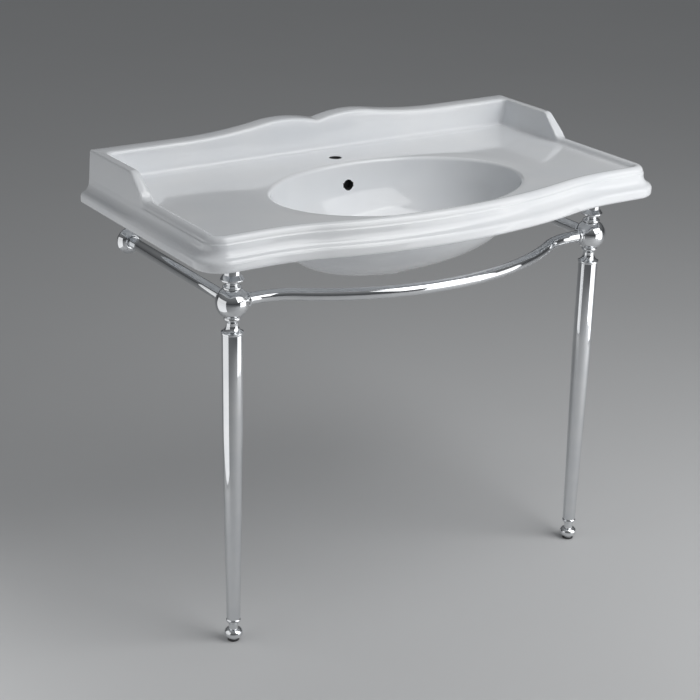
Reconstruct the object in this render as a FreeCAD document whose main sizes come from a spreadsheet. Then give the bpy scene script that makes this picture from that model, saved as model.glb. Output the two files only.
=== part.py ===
"""Console basin of glazed fireclay on two turned, chromed brass legs.

The basin stands against a wall: its back is the plane Y = basin_depth / 2, its bowed front looks
towards -Y, and Z = 0 is the floor. Millimetres throughout.
"""
import FreeCAD
import Part
import Sketcher
import math
import os
import re

# Driving sizes: alias, value in millimetres (degrees where the note says so), note.
SIZES = [
    # basin, in plan
    ("basin_width", 1000, "overall width at the lower moulding"),
    ("basin_depth", 545, "wall to the middle of the bowed front"),
    ("bow_swell", 52, "how far the bow stands out from the straight parts of the front"),
    ("corner_radius", 52, "front corners, at the lower moulding"),
    ("bow_half_span", 380, "middle to where the front starts to swell"),
    ("ogee_radius", 410, "hollow curve on each side of the bow"),
    ("basin_base", 757, "floor to the lower edge of the basin"),
    # moulding, as insets from the plan outline and heights over the lower edge
    ("skirt_wall", 22, "thickness of the hanging skirt"),
    ("edge_round", 6, "rounding of the lower edge"),
    ("face_height", 13, "height of the plain lower face"),
    ("shoulder_inset", 6, "inset where the swell turns into the cove"),
    ("shoulder_height", 22, "height of that turn"),
    ("neck_inset", 17.5, "inset at the top of the cove"),
    ("neck_height", 39, "height at the top of the cove"),
    ("ledge_height", 45, "height of the small ledge under the bead"),
    ("ledge_width", 2, "width of that ledge"),
    ("bead_radius", 11.5, "radius of the rolled rim"),
    ("rim_slope", 18, "run of the inner slope of the rim"),
    ("deck_height", 47, "height of the deck"),
    ("deck_thickness", 15, "thickness of the deck"),
    ("rear_wall", 20, "thickness of the wall behind the skirt"),
    # backsplash and wings
    ("splash_height", 100, "height of the backsplash at its corners"),
    ("splash_thickness", 34, "thickness of the backsplash"),
    ("hump_half_span", 300, "middle to the foot of a hump"),
    ("hump_peak", 80, "middle to the top of a hump"),
    ("hump_rise", 18, "rise of the humps over the corners"),
    ("hump_radius", 300, "radius over the top of a hump"),
    ("wing_top", 170, "length of the level top of a wing"),
    ("wing_foot", 221, "length of a wing at the rim"),
    ("wing_lean", 2.5, "lean of the outer face of a wing"),
    ("wing_thickness", 16, "thickness of a wing at its top"),
    ("wing_draft", 7, "draft of the inner face of a wing"),
    ("splash_edge_round", 7, "rounding of the front edge of the backsplash"),
    ("wing_edge_round", 4, "rounding of the wing edges"),
    ("notch_round", 12, "rounding of the notch between the humps"),
    ("splash_foot_round", 9, "hollow rounding at the foot of the backsplash"),
    # bowl
    ("bowl_half_length", 256, "half of the opening, left to right"),
    ("bowl_half_width", 173, "half of the opening, front to back"),
    ("bowl_middle", 315, "wall to the middle of the bowl"),
    ("bowl_depth", 160, "deck to the bottom of the bowl"),
    ("bowl_set_back", 35, "middle of the opening to the waste outlet, towards the wall"),
    ("bowl_wall", 12, "thickness of the bowl"),
    ("bowl_edge_round", 7, "rounding of the opening"),
    ("waste_radius", 23, "waste outlet"),
    ("waste_boss_radius", 36, "boss under the waste outlet"),
    ("waste_boss_depth", 3, "boss below the bowl"),
    ("tap_radius", 12, "tap hole"),
    ("tap_middle", 96, "wall to the tap hole"),
    ("tap_edge_round", 2.5, "rounding of the tap hole"),
    ("overflow_radius", 10.5, "overflow hole"),
    ("overflow_drop", 44, "deck to the overflow hole"),
    ("overflow_reach", 15, "depth of the overflow hole behind the bowl"),
    ("overflow_wall", 9, "wall of the overflow chamber round its hole"),
    ("land_radius", 36, "leg lands under the basin"),
    ("land_height", 5, "lower edge to the leg lands"),
    ("wall_bolt_spacing", 280, "between the two wall bolts"),
    ("wall_bolt_radius", 7, "wall bolt holes"),
    ("wall_bolt_height", 16, "lower edge to the wall bolts"),
    # stand
    ("leg_inset", 97, "end of the basin to a leg"),
    ("leg_setback", 91, "straight part of the front to a leg"),
    ("hub_height", 670, "floor to the middle of a hub ball"),
    ("hub_radius", 30, "hub ball"),
    ("hub_land", 25, "middle of the ball to its flat lands"),
    ("socket_floor", 18, "middle of the ball to the floor of a rail socket"),
    ("rail_radius", 11, "outside of the rails"),
    ("rail_wall", 1.5, "wall of the rails"),
    ("rail_fit", 0.1, "clearance round a rail in its socket"),
    ("rail_lead", 48, "middle of a hub to where the front rail starts to bend"),
    ("rail_reach", 108, "legs to the middle of the front rail"),
    ("rail_ogee_radius", 137, "hollow bends of the front rail"),
    ("stud_radius", 5, "stud through the turned pieces of a leg"),
    ("stud_fit", 0.1, "clearance round the stud"),
    ("stud_drop", 75, "hub to the lower end of the stud"),
    # turned column over the hub, heights from the middle of the ball
    ("column_ring_inner", 14.5, "root of the ring over the ball"),
    ("column_ring_height", 6, "height of that ring"),
    ("column_ring_bulge", 2.5, "swell of that ring"),
    ("column_neck_radius", 11.5, "neck of the column"),
    ("column_neck_low", 34, "lower end of the neck"),
    ("column_neck_top", 36, "upper end of the neck"),
    ("cap_root_radius", 15, "root of the cap"),
    ("cap_low", 38.5, "underside of the cap"),
    ("cap_radius", 21, "widest part of the cap"),
    ("cap_edge_low", 41.5, "lower end of the edge of the cap"),
    ("cap_edge", 2.5, "height of the edge of the cap"),
    ("cap_top", 52, "top of the cone of the cap"),
    ("drum_radius", 15.5, "drum over the cap"),
    ("flange_radius", 28, "support flange under the basin"),
    ("flange_thickness", 6, "support flange"),
    ("pad_radius", 26, "soft pad under the basin"),
    ("pad_thickness", 4, "soft pad"),
    # turned collar under the hub
    ("collar_ring_inner", 13, "root of the ring under the ball"),
    ("collar_ring_height", 8, "height of that ring"),
    ("collar_ring_bulge", 2.3, "swell of that ring"),
    ("collar_neck_radius", 11.3, "neck of the collar"),
    ("collar_neck_top", 36.5, "ball to the upper end of the neck"),
    ("collar_neck_low", 42, "ball to the lower end of the neck"),
    ("bell_radius", 20.2, "bell of the collar"),
    ("bell_low", 54, "ball to the full width of the bell"),
    ("collar_low", 58, "ball to the underside of the collar"),
    ("spigot_length", 18, "spigots inside the leg tube"),
    ("spigot_fit", 0.1, "clearance round the spigots"),
    # leg tube and foot, heights over the floor
    ("tube_top_radius", 19, "leg tube, upper end"),
    ("tube_foot_radius", 13, "leg tube, lower end"),
    ("tube_wall", 1.5, "leg tube"),
    ("taper_start", 430, "floor to where the tube starts to taper"),
    ("tube_foot", 46, "floor to the lower end of the tube"),
    ("bead_low", 38, "floor to the underside of the foot bead"),
    ("foot_bead_inner", 11.8, "root of the foot bead"),
    ("foot_bead_bulge", 2.3, "swell of the foot bead"),
    ("foot_neck_radius", 8.6, "neck of the foot"),
    ("foot_neck_low", 24, "floor to the lower end of that neck"),
    ("foot_ball_low", 6, "floor to the underside of the foot ball"),
    ("foot_ball_root", 10.8, "root of the rounded foot"),
    ("foot_ball_bulge", 6.7, "swell of the rounded foot"),
    ("foot_base_radius", 9.5, "base of the foot"),
    ("glide_radius", 11, "glide under the foot"),
    ("glide_thickness", 3, "glide under the foot"),
    ("foot_stud_radius", 4, "threaded stud of the foot"),
    ("foot_stud_fit", 0.05, "running clearance round that stud"),
    ("foot_stud_top", 60, "floor to the top of that stud"),
    # rail ends
    ("ring_radius", 12.2, "root of a collar ring on a rail"),
    ("ring_length", 6, "collar ring on a rail"),
    ("ring_bulge", 1.6, "swell of a collar ring"),
    ("rest_gap", 0.3, "gap between pieces that only come near each other"),
    ("rosette_radius", 26, "wall rosette"),
    ("rosette_edge", 4, "height of the edge of the rosette"),
    ("rosette_height", 14, "height of the rosette"),
    ("rosette_lip", 13.5, "radius of the flat lip of the rosette"),
    ("rosette_dome", 22, "radius of the dome of the rosette"),
    ("rosette_hollow", 5.5, "hollow at the back of the rosette"),
    ("rosette_wall", 3, "wall of the rosette round its hollow"),
    ("bracket_radius", 22, "plate of the wall bracket"),
    ("bracket_thickness", 4.5, "plate of the wall bracket"),
    ("bracket_spigot", 30, "spigot of the wall bracket inside the rail"),
    ("bracket_hole_radius", 2.4, "screw holes of the wall bracket"),
    ("bracket_hole_circle", 15.5, "middle of the bracket to a screw hole"),
    ("grub_radius", 2.5, "grub screws"),
    ("grub_length", 8, "grub screws"),
    ("grub_fit", 0.05, "clearance round a grub screw"),
    ("grub_place", 23, "middle of the ball to a grub screw"),
    ("grub_key_radius", 1.45, "key socket of a grub screw, corner to middle"),
    ("grub_key_depth", 2.5, "key socket of a grub screw"),
]

# Sizes that follow from the driving ones: alias, formula, note.
WORKED_OUT = [
    ("half_width", "basin_width / 2", "half the basin"),
    ("flank_depth", "basin_depth - bow_swell", "wall to the straight parts of the front"),
    ("bow_radius", "(bow_half_span ^ 2 + bow_swell ^ 2) / (2 * bow_swell) - ogee_radius", "bow"),
    ("turn_side", "bow_half_span * bow_radius / (bow_radius + ogee_radius)", "turn, sideways"),
    ("turn_depth", "flank_depth + bow_swell * ogee_radius / (bow_radius + ogee_radius)",
     "turn, from the wall"),
    ("turn_slope_side", "turn_side / bow_radius", "normal at the turn, sideways"),
    ("turn_slope_depth", "(turn_depth - basin_depth + bow_radius) / bow_radius",
     "normal at the turn, forwards"),
    ("shoulder_rise", "shoulder_height - face_height", "rise of the swell"),
    ("shoulder_radius", "(shoulder_inset ^ 2 + shoulder_rise ^ 2) / (2 * shoulder_inset)", "swell"),
    ("cove_run", "neck_inset - shoulder_inset", "run of the cove"),
    ("cove_rise", "neck_height - shoulder_height", "rise of the cove"),
    ("cove_radius", "(cove_run ^ 2 + cove_rise ^ 2) * shoulder_radius / (2 * (cove_rise * shoulder_rise"
     " - cove_run * (shoulder_radius - shoulder_inset)))", "cove, tangent to the swell"),
    ("bead_inset", "neck_inset + ledge_width", "inset of the bead"),
    ("rim_inset", "bead_inset + bead_radius", "inset of the top of the rim"),
    ("rim_height", "ledge_height + bead_radius + 1", "height of the rim"),
    ("slope_inset", "rim_inset + rim_slope", "inset of the foot of the rim slope"),
    ("slope_drop", "rim_height - deck_height", "drop of the rim slope"),
    ("slope_radius", "(rim_slope ^ 2 + slope_drop ^ 2) / (4 * slope_drop)", "curves of the rim slope"),
    ("ceiling", "deck_height - deck_thickness", "underside of the deck"),
    ("hump_run", "hump_half_span - hump_peak", "foot of a hump to its top"),
    ("hump_flow_radius", "(hump_run ^ 2 + hump_rise ^ 2) / (2 * hump_rise) - hump_radius",
     "hollow curve at the foot of a hump"),
    ("hump_turn", "hump_peak + hump_run * hump_radius / (hump_radius + hump_flow_radius)",
     "turn of a hump, sideways"),
    ("hump_turn_height",
     "splash_height + hump_rise * hump_flow_radius / (hump_radius + hump_flow_radius)",
     "turn of a hump, height"),
    ("cusp_height",
     "splash_height + hump_rise - hump_radius + sqrt(hump_radius ^ 2 - hump_peak ^ 2)",
     "notch between the humps"),
    ("hub_land_radius", "sqrt(hub_radius ^ 2 - hub_land ^ 2)", "flat lands of the ball"),
    ("stud_bore", "stud_radius + stud_fit", "bore round the stud"),
    ("rail_bore", "rail_radius + rail_fit", "bore round a rail"),
    ("leg_half_spacing", "half_width - leg_inset", "middle to a leg"),
    ("leg_to_wall", "flank_depth - leg_setback", "wall to a leg"),
    ("rail_straight", "leg_half_spacing - rail_lead", "middle to where the front rail bends"),
    ("ring_start", "sqrt(hub_radius ^ 2 - rail_bore ^ 2) + rest_gap", "hub to a collar ring"),
    ("rail_bow_radius", "(rail_straight ^ 2 + rail_reach ^ 2) / (2 * rail_reach) - rail_ogee_radius",
     "bow of the front rail"),
    ("rail_turn_side", "rail_straight * rail_bow_radius / (rail_bow_radius + rail_ogee_radius)",
     "turn of the front rail, sideways"),
    ("rail_turn_reach", "rail_reach * rail_ogee_radius / (rail_bow_radius + rail_ogee_radius)",
     "turn of the front rail, forwards"),
    ("support_top", "basin_base + land_height - hub_height", "hub to the leg lands"),
    ("drum_top", "support_top - pad_thickness - flange_thickness", "hub to the top of the drum"),
    ("leg_back", "basin_depth / 2 - leg_to_wall", "Y of the legs"),
]
ALIASES = {row[0] for row in SIZES + WORKED_OUT}
SHEET = "size"

# The bowl's sections: shares of the depth, of the set-back, and of the opening's half sizes.
BOWL_SECTIONS = [(0.0, 0.0, 1.0, 1.0), (0.14, 0.052, 0.992, 0.987), (0.30, 0.164, 0.968, 0.948),
                 (0.48, 0.333, 0.915, 0.864), (0.66, 0.536, 0.815, 0.715), (0.82, 0.743, 0.655, 0.50),
                 (0.93, 0.897, 0.46, 0.30), (1.0, 1.0, 0.18, 0.16)]

doc = FreeCAD.newDocument("console_basin")
UP = FreeCAD.Vector(0, 0, 1)
CENTRE_LEFT = 1
CENTRE_RIGHT = -1


# ---------------------------------------------------------------- sheet and sketch helpers

def make_sheet():
    """Puts the driving sizes, and then the sizes worked out from them, on the sheet."""
    sheet = doc.addObject("Spreadsheet::Sheet", SHEET)
    row = 0
    for alias, value, note in SIZES:
        row += 1
        sheet.set(f"A{row}", note)
        sheet.set(f"B{row}", str(value))
        sheet.setAlias(f"B{row}", alias)
    for alias, formula, note in WORKED_OUT:
        row += 1
        sheet.set(f"A{row}", note)
        sheet.set(f"B{row}", "=" + formula)
        sheet.setAlias(f"B{row}", alias)
    doc.recompute()
    return sheet


def bound(text):
    """The expression with every alias read from the sheet."""
    return re.sub(r"[a-z][a-z_0-9]+", lambda m: f"{SHEET}.{m[0]}" if m[0] in ALIASES else m[0], str(text))


def number(text):
    """What an expression is worth now."""
    value = doc.getObject(SHEET).evalExpression(bound(text))
    return float(getattr(value, "Value", value))


def bind(thing, path, text):
    """Ties one property of a document object to an expression."""
    thing.setExpression(path, bound(text))


def new_body(name, place=("0", "0", "0"), turn=None):
    """A body with its own label, at a place given by three expressions."""
    body = doc.addObject("PartDesign::Body", name)
    body.Label = name
    if turn:
        body.Placement = FreeCAD.Placement(FreeCAD.Vector(), FreeCAD.Rotation(*turn))
    for axis, text in zip("xyz", place):
        bind(body, f"Placement.Base.{axis}", text)
    return body


def origin_plane(body, role):
    return next(part for part in body.Origin.OriginFeatures if part.Role == role)


def new_sketch(body, name, role, offset="0"):
    """A sketch on one of the body's own origin planes, set off along the plane's normal."""
    sketch = body.newObject("Sketcher::SketchObject", f"{body.Name}_{name}")
    sketch.AttachmentSupport = [(origin_plane(body, role), "")]
    sketch.MapMode = "FlatFace"
    bind(sketch, ".AttachmentOffset.Base.z", offset)
    return sketch


def arc_through(start, end, radius, side):
    """The short arc from start to end, with its centre to the left (1) or right (-1)."""
    chord = end - start
    half = chord.Length / 2
    left = FreeCAD.Vector(-chord.y, chord.x, 0) / chord.Length * side
    centre = (start + end) * 0.5 + left * math.sqrt(max(radius ** 2 - half ** 2, 0))
    return Part.Arc(start, centre - left * radius, end)


def draw_outline(sketch, corners, closed=True):
    """Draws and fixes an outline. A corner is (x, y) or, for an arc, (x, y, radius, side)."""
    points = [FreeCAD.Vector(number(corner[0]), number(corner[1]), 0) for corner in corners]
    count = len(points)
    edges = []
    for index in range(count if closed else count - 1):
        start, end = points[index], points[(index + 1) % count]
        corner = corners[(index + 1) % count]
        if len(corner) == 4:
            edge = sketch.addGeometry(arc_through(start, end, number(corner[2]), corner[3]), False)
            radius = sketch.addConstraint(Sketcher.Constraint("Radius", edge, number(corner[2])))
            bind(sketch, f"Constraints[{radius}]", corner[2])
        else:
            edge = sketch.addGeometry(Part.LineSegment(start, end), False)
        forwards = (sketch.getPoint(edge, 1) - start).Length < (sketch.getPoint(edge, 2) - start).Length
        edges.append((edge, 1, 2) if forwards else (edge, 2, 1))
    for index in range(len(edges) if closed else len(edges) - 1):
        edge, _, last = edges[index]
        following, first, _ = edges[(index + 1) % len(edges)]
        sketch.addConstraint(Sketcher.Constraint("Coincident", edge, last, following, first))
    for index, (point, corner) in enumerate(zip(points, corners)):
        edge, first, last = edges[min(index, len(edges) - 1)]
        end = first if index < len(edges) else last
        for kind, place, text in (("DistanceX", point.x, corner[0]), ("DistanceY", point.y, corner[1])):
            fixed = sketch.addConstraint(Sketcher.Constraint(kind, -1, 1, edge, end, place))
            bind(sketch, f"Constraints[{fixed}]", text)


def draw_circle(sketch, x, y, radius):
    """Draws and fixes a circle."""
    centre = FreeCAD.Vector(number(x), number(y), 0)
    circle = sketch.addGeometry(Part.Circle(centre, UP, number(radius)), False)
    for kind, place, text in (("DistanceX", centre.x, x), ("DistanceY", centre.y, y)):
        fixed = sketch.addConstraint(Sketcher.Constraint(kind, -1, 1, circle, 3, place))
        bind(sketch, f"Constraints[{fixed}]", text)
    size = sketch.addConstraint(Sketcher.Constraint("Radius", circle, number(radius)))
    bind(sketch, f"Constraints[{size}]", radius)


def draw_ellipse(sketch, x, y, half_length, half_width):
    """Draws and fixes an ellipse with its long axis along X."""
    centre = FreeCAD.Vector(number(x), number(y), 0)
    long_end = centre + FreeCAD.Vector(number(half_length), 0, 0)
    short_end = centre + FreeCAD.Vector(0, number(half_width), 0)
    ellipse = sketch.addGeometry(Part.Ellipse(long_end, short_end, centre), False)
    sketch.exposeInternalGeometry(ellipse)
    long_axis, short_axis = ellipse + 1, ellipse + 2
    sketch.addConstraint(Sketcher.Constraint("Horizontal", long_axis))
    for kind, place, text in (("DistanceX", centre.x, x), ("DistanceY", centre.y, y)):
        fixed = sketch.addConstraint(Sketcher.Constraint(kind, -1, 1, ellipse, 3, place))
        bind(sketch, f"Constraints[{fixed}]", text)
    for axis, half in ((long_axis, half_length), (short_axis, half_width)):
        size = sketch.addConstraint(Sketcher.Constraint("Distance", axis, 2 * number(half)))
        bind(sketch, f"Constraints[{size}]", f"2 * ({half})")


def pad(body, name, sketch, length, reverse=False):
    feature = body.newObject("PartDesign::Pad", f"{body.Name}_{name}")
    feature.Profile = sketch
    feature.Reversed = reverse
    bind(feature, "Length", length)
    doc.recompute()
    return feature


def pocket(body, name, sketch, length, reverse=False, both_ways=False):
    """Cuts a sketch out of the body, and stops if nothing was cut."""
    before = body.Shape.Volume
    feature = body.newObject("PartDesign::Pocket", f"{body.Name}_{name}")
    feature.Profile = sketch
    feature.Reversed = reverse
    feature.Midplane = both_ways
    bind(feature, "Length", length)
    doc.recompute()
    if not body.Shape.Volume < before:
        raise ValueError(f"{feature.Name} cuts nothing")
    return feature


def revolve(body, name, sketch, axis="V_Axis"):
    feature = body.newObject("PartDesign::Revolution", f"{body.Name}_{name}")
    feature.Profile = sketch
    feature.ReferenceAxis = (sketch, [axis])
    feature.Angle = 360
    doc.recompute()
    return feature


def bore(body, name, role, radius, length, place):
    """A round hole along the normal of an origin plane, starting at a place on that plane."""
    before = body.Shape.Volume
    feature = body.newObject("PartDesign::SubtractiveCylinder", f"{body.Name}_{name}")
    feature.AttachmentSupport = [(origin_plane(body, role), "")]
    feature.MapMode = "FlatFace"
    for axis, text in zip("xyz", place):
        bind(feature, f".AttachmentOffset.Base.{axis}", text)
    bind(feature, "Radius", radius)
    bind(feature, "Height", length)
    doc.recompute()
    if not body.Shape.Volume < before:
        raise ValueError(f"{feature.Name} cuts nothing")
    return feature


def round_edges(body, name, radius, wanted):
    """Rounds every edge of the body that the test picks."""
    base = body.Tip
    names = [f"Edge{index}" for index, edge in enumerate(base.Shape.Edges, 1) if wanted(edge)]
    if not names:
        raise ValueError(f"{name} finds no edge")
    feature = body.newObject("PartDesign::Fillet", f"{body.Name}_{name}")
    feature.Base = (base, names)
    bind(feature, "Radius", radius)
    doc.recompute()
    return feature


def turned(name, place, profile, turn=None):
    """A piece turned on its own Z axis from a profile of radius and height."""
    body = new_body(name, place, turn)
    sketch = new_sketch(body, "profile", "XZ_Plane")
    draw_outline(sketch, profile)
    revolve(body, "turning", sketch)
    return body


def bulge(chord, swell):
    """Radius of an arc over a chord that swells out by that much."""
    return f"(({chord}) ^ 2 / 4 + ({swell}) ^ 2) / (2 * ({swell}))"


# ---------------------------------------------------------------- basin

def plan_outline(inset):
    """The plan outline of the basin at an inset: left back, round the front, right back."""
    left = [
        (f"-(half_width - {inset})", "0"),
        (f"-(half_width - {inset})", "-(flank_depth - corner_radius)"),
        ("-(half_width - corner_radius)", f"-(flank_depth - {inset})",
         f"corner_radius - {inset}", CENTRE_LEFT),
        ("-bow_half_span", f"-(flank_depth - {inset})"),
        (f"-(turn_side - {inset} * turn_slope_side)", f"-(turn_depth - {inset} * turn_slope_depth)",
         f"ogee_radius + {inset}", CENTRE_RIGHT),
    ]
    right = [
        (f"turn_side - {inset} * turn_slope_side", f"-(turn_depth - {inset} * turn_slope_depth)",
         f"bow_radius - {inset}", CENTRE_LEFT),
        ("bow_half_span", f"-(flank_depth - {inset})", f"ogee_radius + {inset}", CENTRE_RIGHT),
        ("half_width - corner_radius", f"-(flank_depth - {inset})"),
        (f"half_width - {inset}", "-(flank_depth - corner_radius)",
         f"corner_radius - {inset}", CENTRE_LEFT),
        (f"half_width - {inset}", "0"),
    ]
    return left + right


def add_backsplash(body):
    """The backsplash: level at its corners, with two humps and a notch between them."""
    sketch = new_sketch(body, "backsplash_outline", "XZ_Plane")
    foot = "half_width - slope_inset"
    shoulder = "half_width - bead_inset"
    corner = "half_width - bead_inset - wing_lean"
    draw_outline(sketch, [
        (f"-({foot})", "ceiling"),
        (foot, "ceiling"),
        (shoulder, "rim_height - bead_radius"),
        (corner, "splash_height"),
        ("hump_half_span", "splash_height"),
        ("hump_turn", "hump_turn_height", "hump_flow_radius", CENTRE_RIGHT),
        ("0", "cusp_height", "hump_radius", CENTRE_LEFT),
        ("-hump_turn", "hump_turn_height", "hump_radius", CENTRE_LEFT),
        ("-hump_half_span", "splash_height", "hump_flow_radius", CENTRE_RIGHT),
        (f"-({corner})", "splash_height"),
        (f"-({shoulder})", "rim_height - bead_radius"),
    ])
    pad(body, "backsplash", sketch, "splash_thickness")


def add_wings(body):
    """The two wings that run forward from the backsplash, with sloped ends."""
    outer = "half_width - bead_inset"
    for name, sign in (("left", "-"), ("right", "")):
        sketch = new_sketch(body, f"{name}_wing_section", "XZ_Plane")
        draw_outline(sketch, [
            (f"{sign}(half_width - slope_inset)", "ceiling"),
            (f"{sign}({outer})", "rim_height - bead_radius"),
            (f"{sign}({outer} - wing_lean)", "splash_height"),
            (f"{sign}({outer} - wing_lean - wing_thickness)", "splash_height"),
            (f"{sign}({outer} - wing_lean - wing_thickness - wing_draft)", "ceiling"),
        ])
        pad(body, f"{name}_wing", sketch, "wing_foot")
    slope = new_sketch(body, "wing_slope", "YZ_Plane")
    beyond = "wing_foot + splash_height"
    draw_outline(slope, [
        ("-wing_top", "splash_height"),
        (f"-({beyond})", "splash_height"),
        (f"-({beyond})", "rim_height"),
        ("-wing_foot", "rim_height"),
    ])
    pocket(body, "wing_slopes", slope, "2 * basin_width", both_ways=True)


def add_moulding(body):
    """The moulded edge and rim, swept round the two sides and the bowed front."""
    path = new_sketch(body, "moulding_path", "XY_Plane")
    draw_outline(path, plan_outline("0"), closed=False)
    section = new_sketch(body, "moulding_section", "XZ_Plane")
    profile = [
        ("skirt_wall", "0"),
        ("edge_round", "0"),
        ("0", "edge_round", "edge_round", CENTRE_RIGHT),
        ("0", "face_height"),
        ("shoulder_inset", "shoulder_height", "shoulder_radius", CENTRE_RIGHT),
        ("neck_inset", "neck_height", "cove_radius", CENTRE_LEFT),
        ("neck_inset", "ledge_height"),
        ("bead_inset", "ledge_height + 1"),
        ("rim_inset", "rim_height", "bead_radius", CENTRE_RIGHT),
        ("rim_inset + rim_slope / 2", "rim_height - slope_drop / 2", "slope_radius", CENTRE_RIGHT),
        ("slope_inset", "deck_height", "slope_radius", CENTRE_LEFT),
        ("slope_inset", "ceiling"),
        ("skirt_wall", "ceiling"),
    ]
    draw_outline(section, [(f"{corner[0]} - half_width",) + corner[1:] for corner in profile])
    sweep = body.newObject("PartDesign::AdditivePipe", "basin_moulding")
    sweep.Profile = section
    sweep.Spine = (path, [])
    doc.recompute()


def add_deck(body):
    """The flat deck, the wall behind the skirt, and the lands that stand on the legs."""
    sketch = new_sketch(body, "deck_outline", "XY_Plane", "ceiling")
    draw_outline(sketch, plan_outline("(slope_inset - 3)"))
    pad(body, "deck", sketch, "deck_thickness")
    rear = new_sketch(body, "rear_outline", "XY_Plane")
    side = "half_width - skirt_wall / 2"
    draw_outline(rear, [(f"-({side})", "-rear_wall"), (side, "-rear_wall"), (side, "0"), (f"-({side})", "0")])
    pad(body, "rear_wall", rear, "deck_height - deck_thickness / 2")
    lands = new_sketch(body, "land_outline", "XY_Plane", "land_height")
    for sign in ("-", ""):
        draw_circle(lands, f"{sign}leg_half_spacing", "-leg_to_wall", "land_radius")
    pad(body, "lands", lands, "deck_height - land_height - deck_thickness / 2")


def add_bowl(body):
    """The oval bowl: a lofted shell, its hollow, and the chamber behind the overflow hole."""
    for kind, name, grow in (("AdditiveLoft", "shell", "bowl_wall"), ("SubtractiveLoft", "hollow", "0")):
        sketches = []
        if grow == "0":
            add_overflow_chamber(body)
        for index, (depth, back, length, width) in enumerate(BOWL_SECTIONS):
            lift = "-3" if grow != "0" else "0"
            height = f"deck_height - {depth} * (bowl_depth + {grow}) + {lift} * {1 - depth}"
            sketch = new_sketch(body, f"{name}_{index}", "XY_Plane", height)
            draw_ellipse(sketch, "0", f"{back} * bowl_set_back - bowl_middle",
                         f"bowl_half_length * {length} + {grow}", f"bowl_half_width * {width} + {grow}")
            sketches.append(sketch)
        loft = body.newObject(f"PartDesign::{kind}", f"basin_bowl_{name}")
        loft.Profile = sketches[0]
        loft.Sections = sketches[1:]
        doc.recompute()


def add_overflow_chamber(body):
    """The thickening behind the bowl that the overflow hole opens into."""
    low = "deck_height - overflow_drop - overflow_radius - overflow_wall"
    sketch = new_sketch(body, "chamber_outline", "XY_Plane", low)
    side = "overflow_radius + overflow_wall"
    back = "-(bowl_middle - bowl_half_width - bowl_wall - overflow_reach)"
    front = "-(bowl_middle - bowl_half_width)"
    draw_outline(sketch, [(f"-({side})", front), (side, front), (side, back), (f"-({side})", back)])
    pad(body, "overflow_chamber", sketch, f"deck_height - deck_thickness / 2 - ({low})")


def add_holes(body):
    """Waste outlet with its boss, tap hole, overflow hole and wall bolt holes."""
    bottom = "deck_height - bowl_depth - bowl_wall"
    boss = new_sketch(body, "waste_boss_outline", "XY_Plane", f"{bottom} - waste_boss_depth")
    draw_circle(boss, "0", "bowl_set_back - bowl_middle", "waste_boss_radius")
    pad(body, "waste_boss", boss, "waste_boss_depth + bowl_wall * 0.7")
    bore(body, "waste_outlet", "XY_Plane", "waste_radius", "bowl_wall + waste_boss_depth + 20",
         ("0", "bowl_set_back - bowl_middle", f"{bottom} - waste_boss_depth - 5"))
    bore(body, "tap_hole", "XY_Plane", "tap_radius", "deck_thickness * 2",
         ("0", "-tap_middle", "ceiling - deck_thickness / 2"))
    bore(body, "overflow_hole", "XZ_Plane", "overflow_radius", "bowl_half_width + overflow_reach * 0.7",
         ("0", "deck_height - overflow_drop",
          "bowl_middle - bowl_half_width - overflow_reach * 0.7"))
    for sign in ("-", ""):
        side = "left" if sign else "right"
        bore(body, f"{side}_wall_bolt_hole", "XZ_Plane", "wall_bolt_radius", "rear_wall * 1.5",
             (f"{sign}wall_bolt_spacing / 2", "wall_bolt_height", "-rear_wall / 4"))


def spots(edge):
    """Three points of an edge, in the body's own frame."""
    first, last = edge.ParameterRange
    return [edge.valueAt(first + (last - first) * share) for share in (0.1, 0.5, 0.9)]


def near(value, text):
    return abs(value - number(text)) < 0.01


def round_upper_edges(body):
    """Softens the notch, the top of the backsplash and the edges of the wings."""
    round_edges(body, "notch_rounding", "notch_round", lambda edge: all(
        near(spot.x, "0") and near(spot.z, "cusp_height") for spot in spots(edge)))
    round_edges(body, "backsplash_rounding", "splash_edge_round", lambda edge: all(
        near(spot.y, "-splash_thickness") and spot.z > number("splash_height") - 0.01
        for spot in spots(edge)))
    inner = number("half_width - bead_inset - wing_lean - wing_thickness - wing_draft")
    round_edges(body, "wing_rounding", "wing_edge_round", lambda edge: all(
        abs(spot.x) > inner and spot.y < number("-splash_thickness - splash_edge_round / 2")
        and spot.z > number("rim_height") + 0.1 for spot in spots(edge)))


def round_inner_corners(body):
    """Hollow rounding at the foot of the backsplash and up its two inner corners."""
    side = number("half_width - slope_inset")
    round_edges(body, "foot_rounding", "splash_foot_round", lambda edge: all(
        near(spot.y, "-splash_thickness") and (near(spot.z, "deck_height") or abs(spot.x) > side)
        for spot in spots(edge)) and edge.Length > number("rim_slope"))


def round_deck_edges(body):
    """Rounds the opening of the bowl, the tap hole and the overflow hole."""
    deck = number("deck_height")
    round_edges(body, "opening_rounding", "bowl_edge_round", lambda edge: all(
        near(spot.z, "deck_height") for spot in spots(edge)) and on_opening(edge))
    round_edges(body, "tap_rounding", "tap_edge_round", lambda edge: all(
        near(spot.z, "deck_height") and near(math.hypot(spot.x, spot.y + number("tap_middle")), "tap_radius")
        for spot in spots(edge)))


def on_opening(edge):
    """Whether an edge lies on the oval of the bowl opening."""
    length, width = number("bowl_half_length"), number("bowl_half_width")
    middle = number("bowl_middle")
    return all(abs(math.hypot(spot.x / length, (spot.y + middle) / width) - 1) < 0.001
               for spot in spots(edge))


def make_basin():
    body = new_body("basin", ("0", "basin_depth / 2", "basin_base"))
    add_backsplash(body)
    add_wings(body)
    round_upper_edges(body)
    add_moulding(body)
    add_deck(body)
    round_inner_corners(body)
    add_bowl(body)
    add_holes(body)
    round_deck_edges(body)
    return body


# ---------------------------------------------------------------- stand

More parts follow.
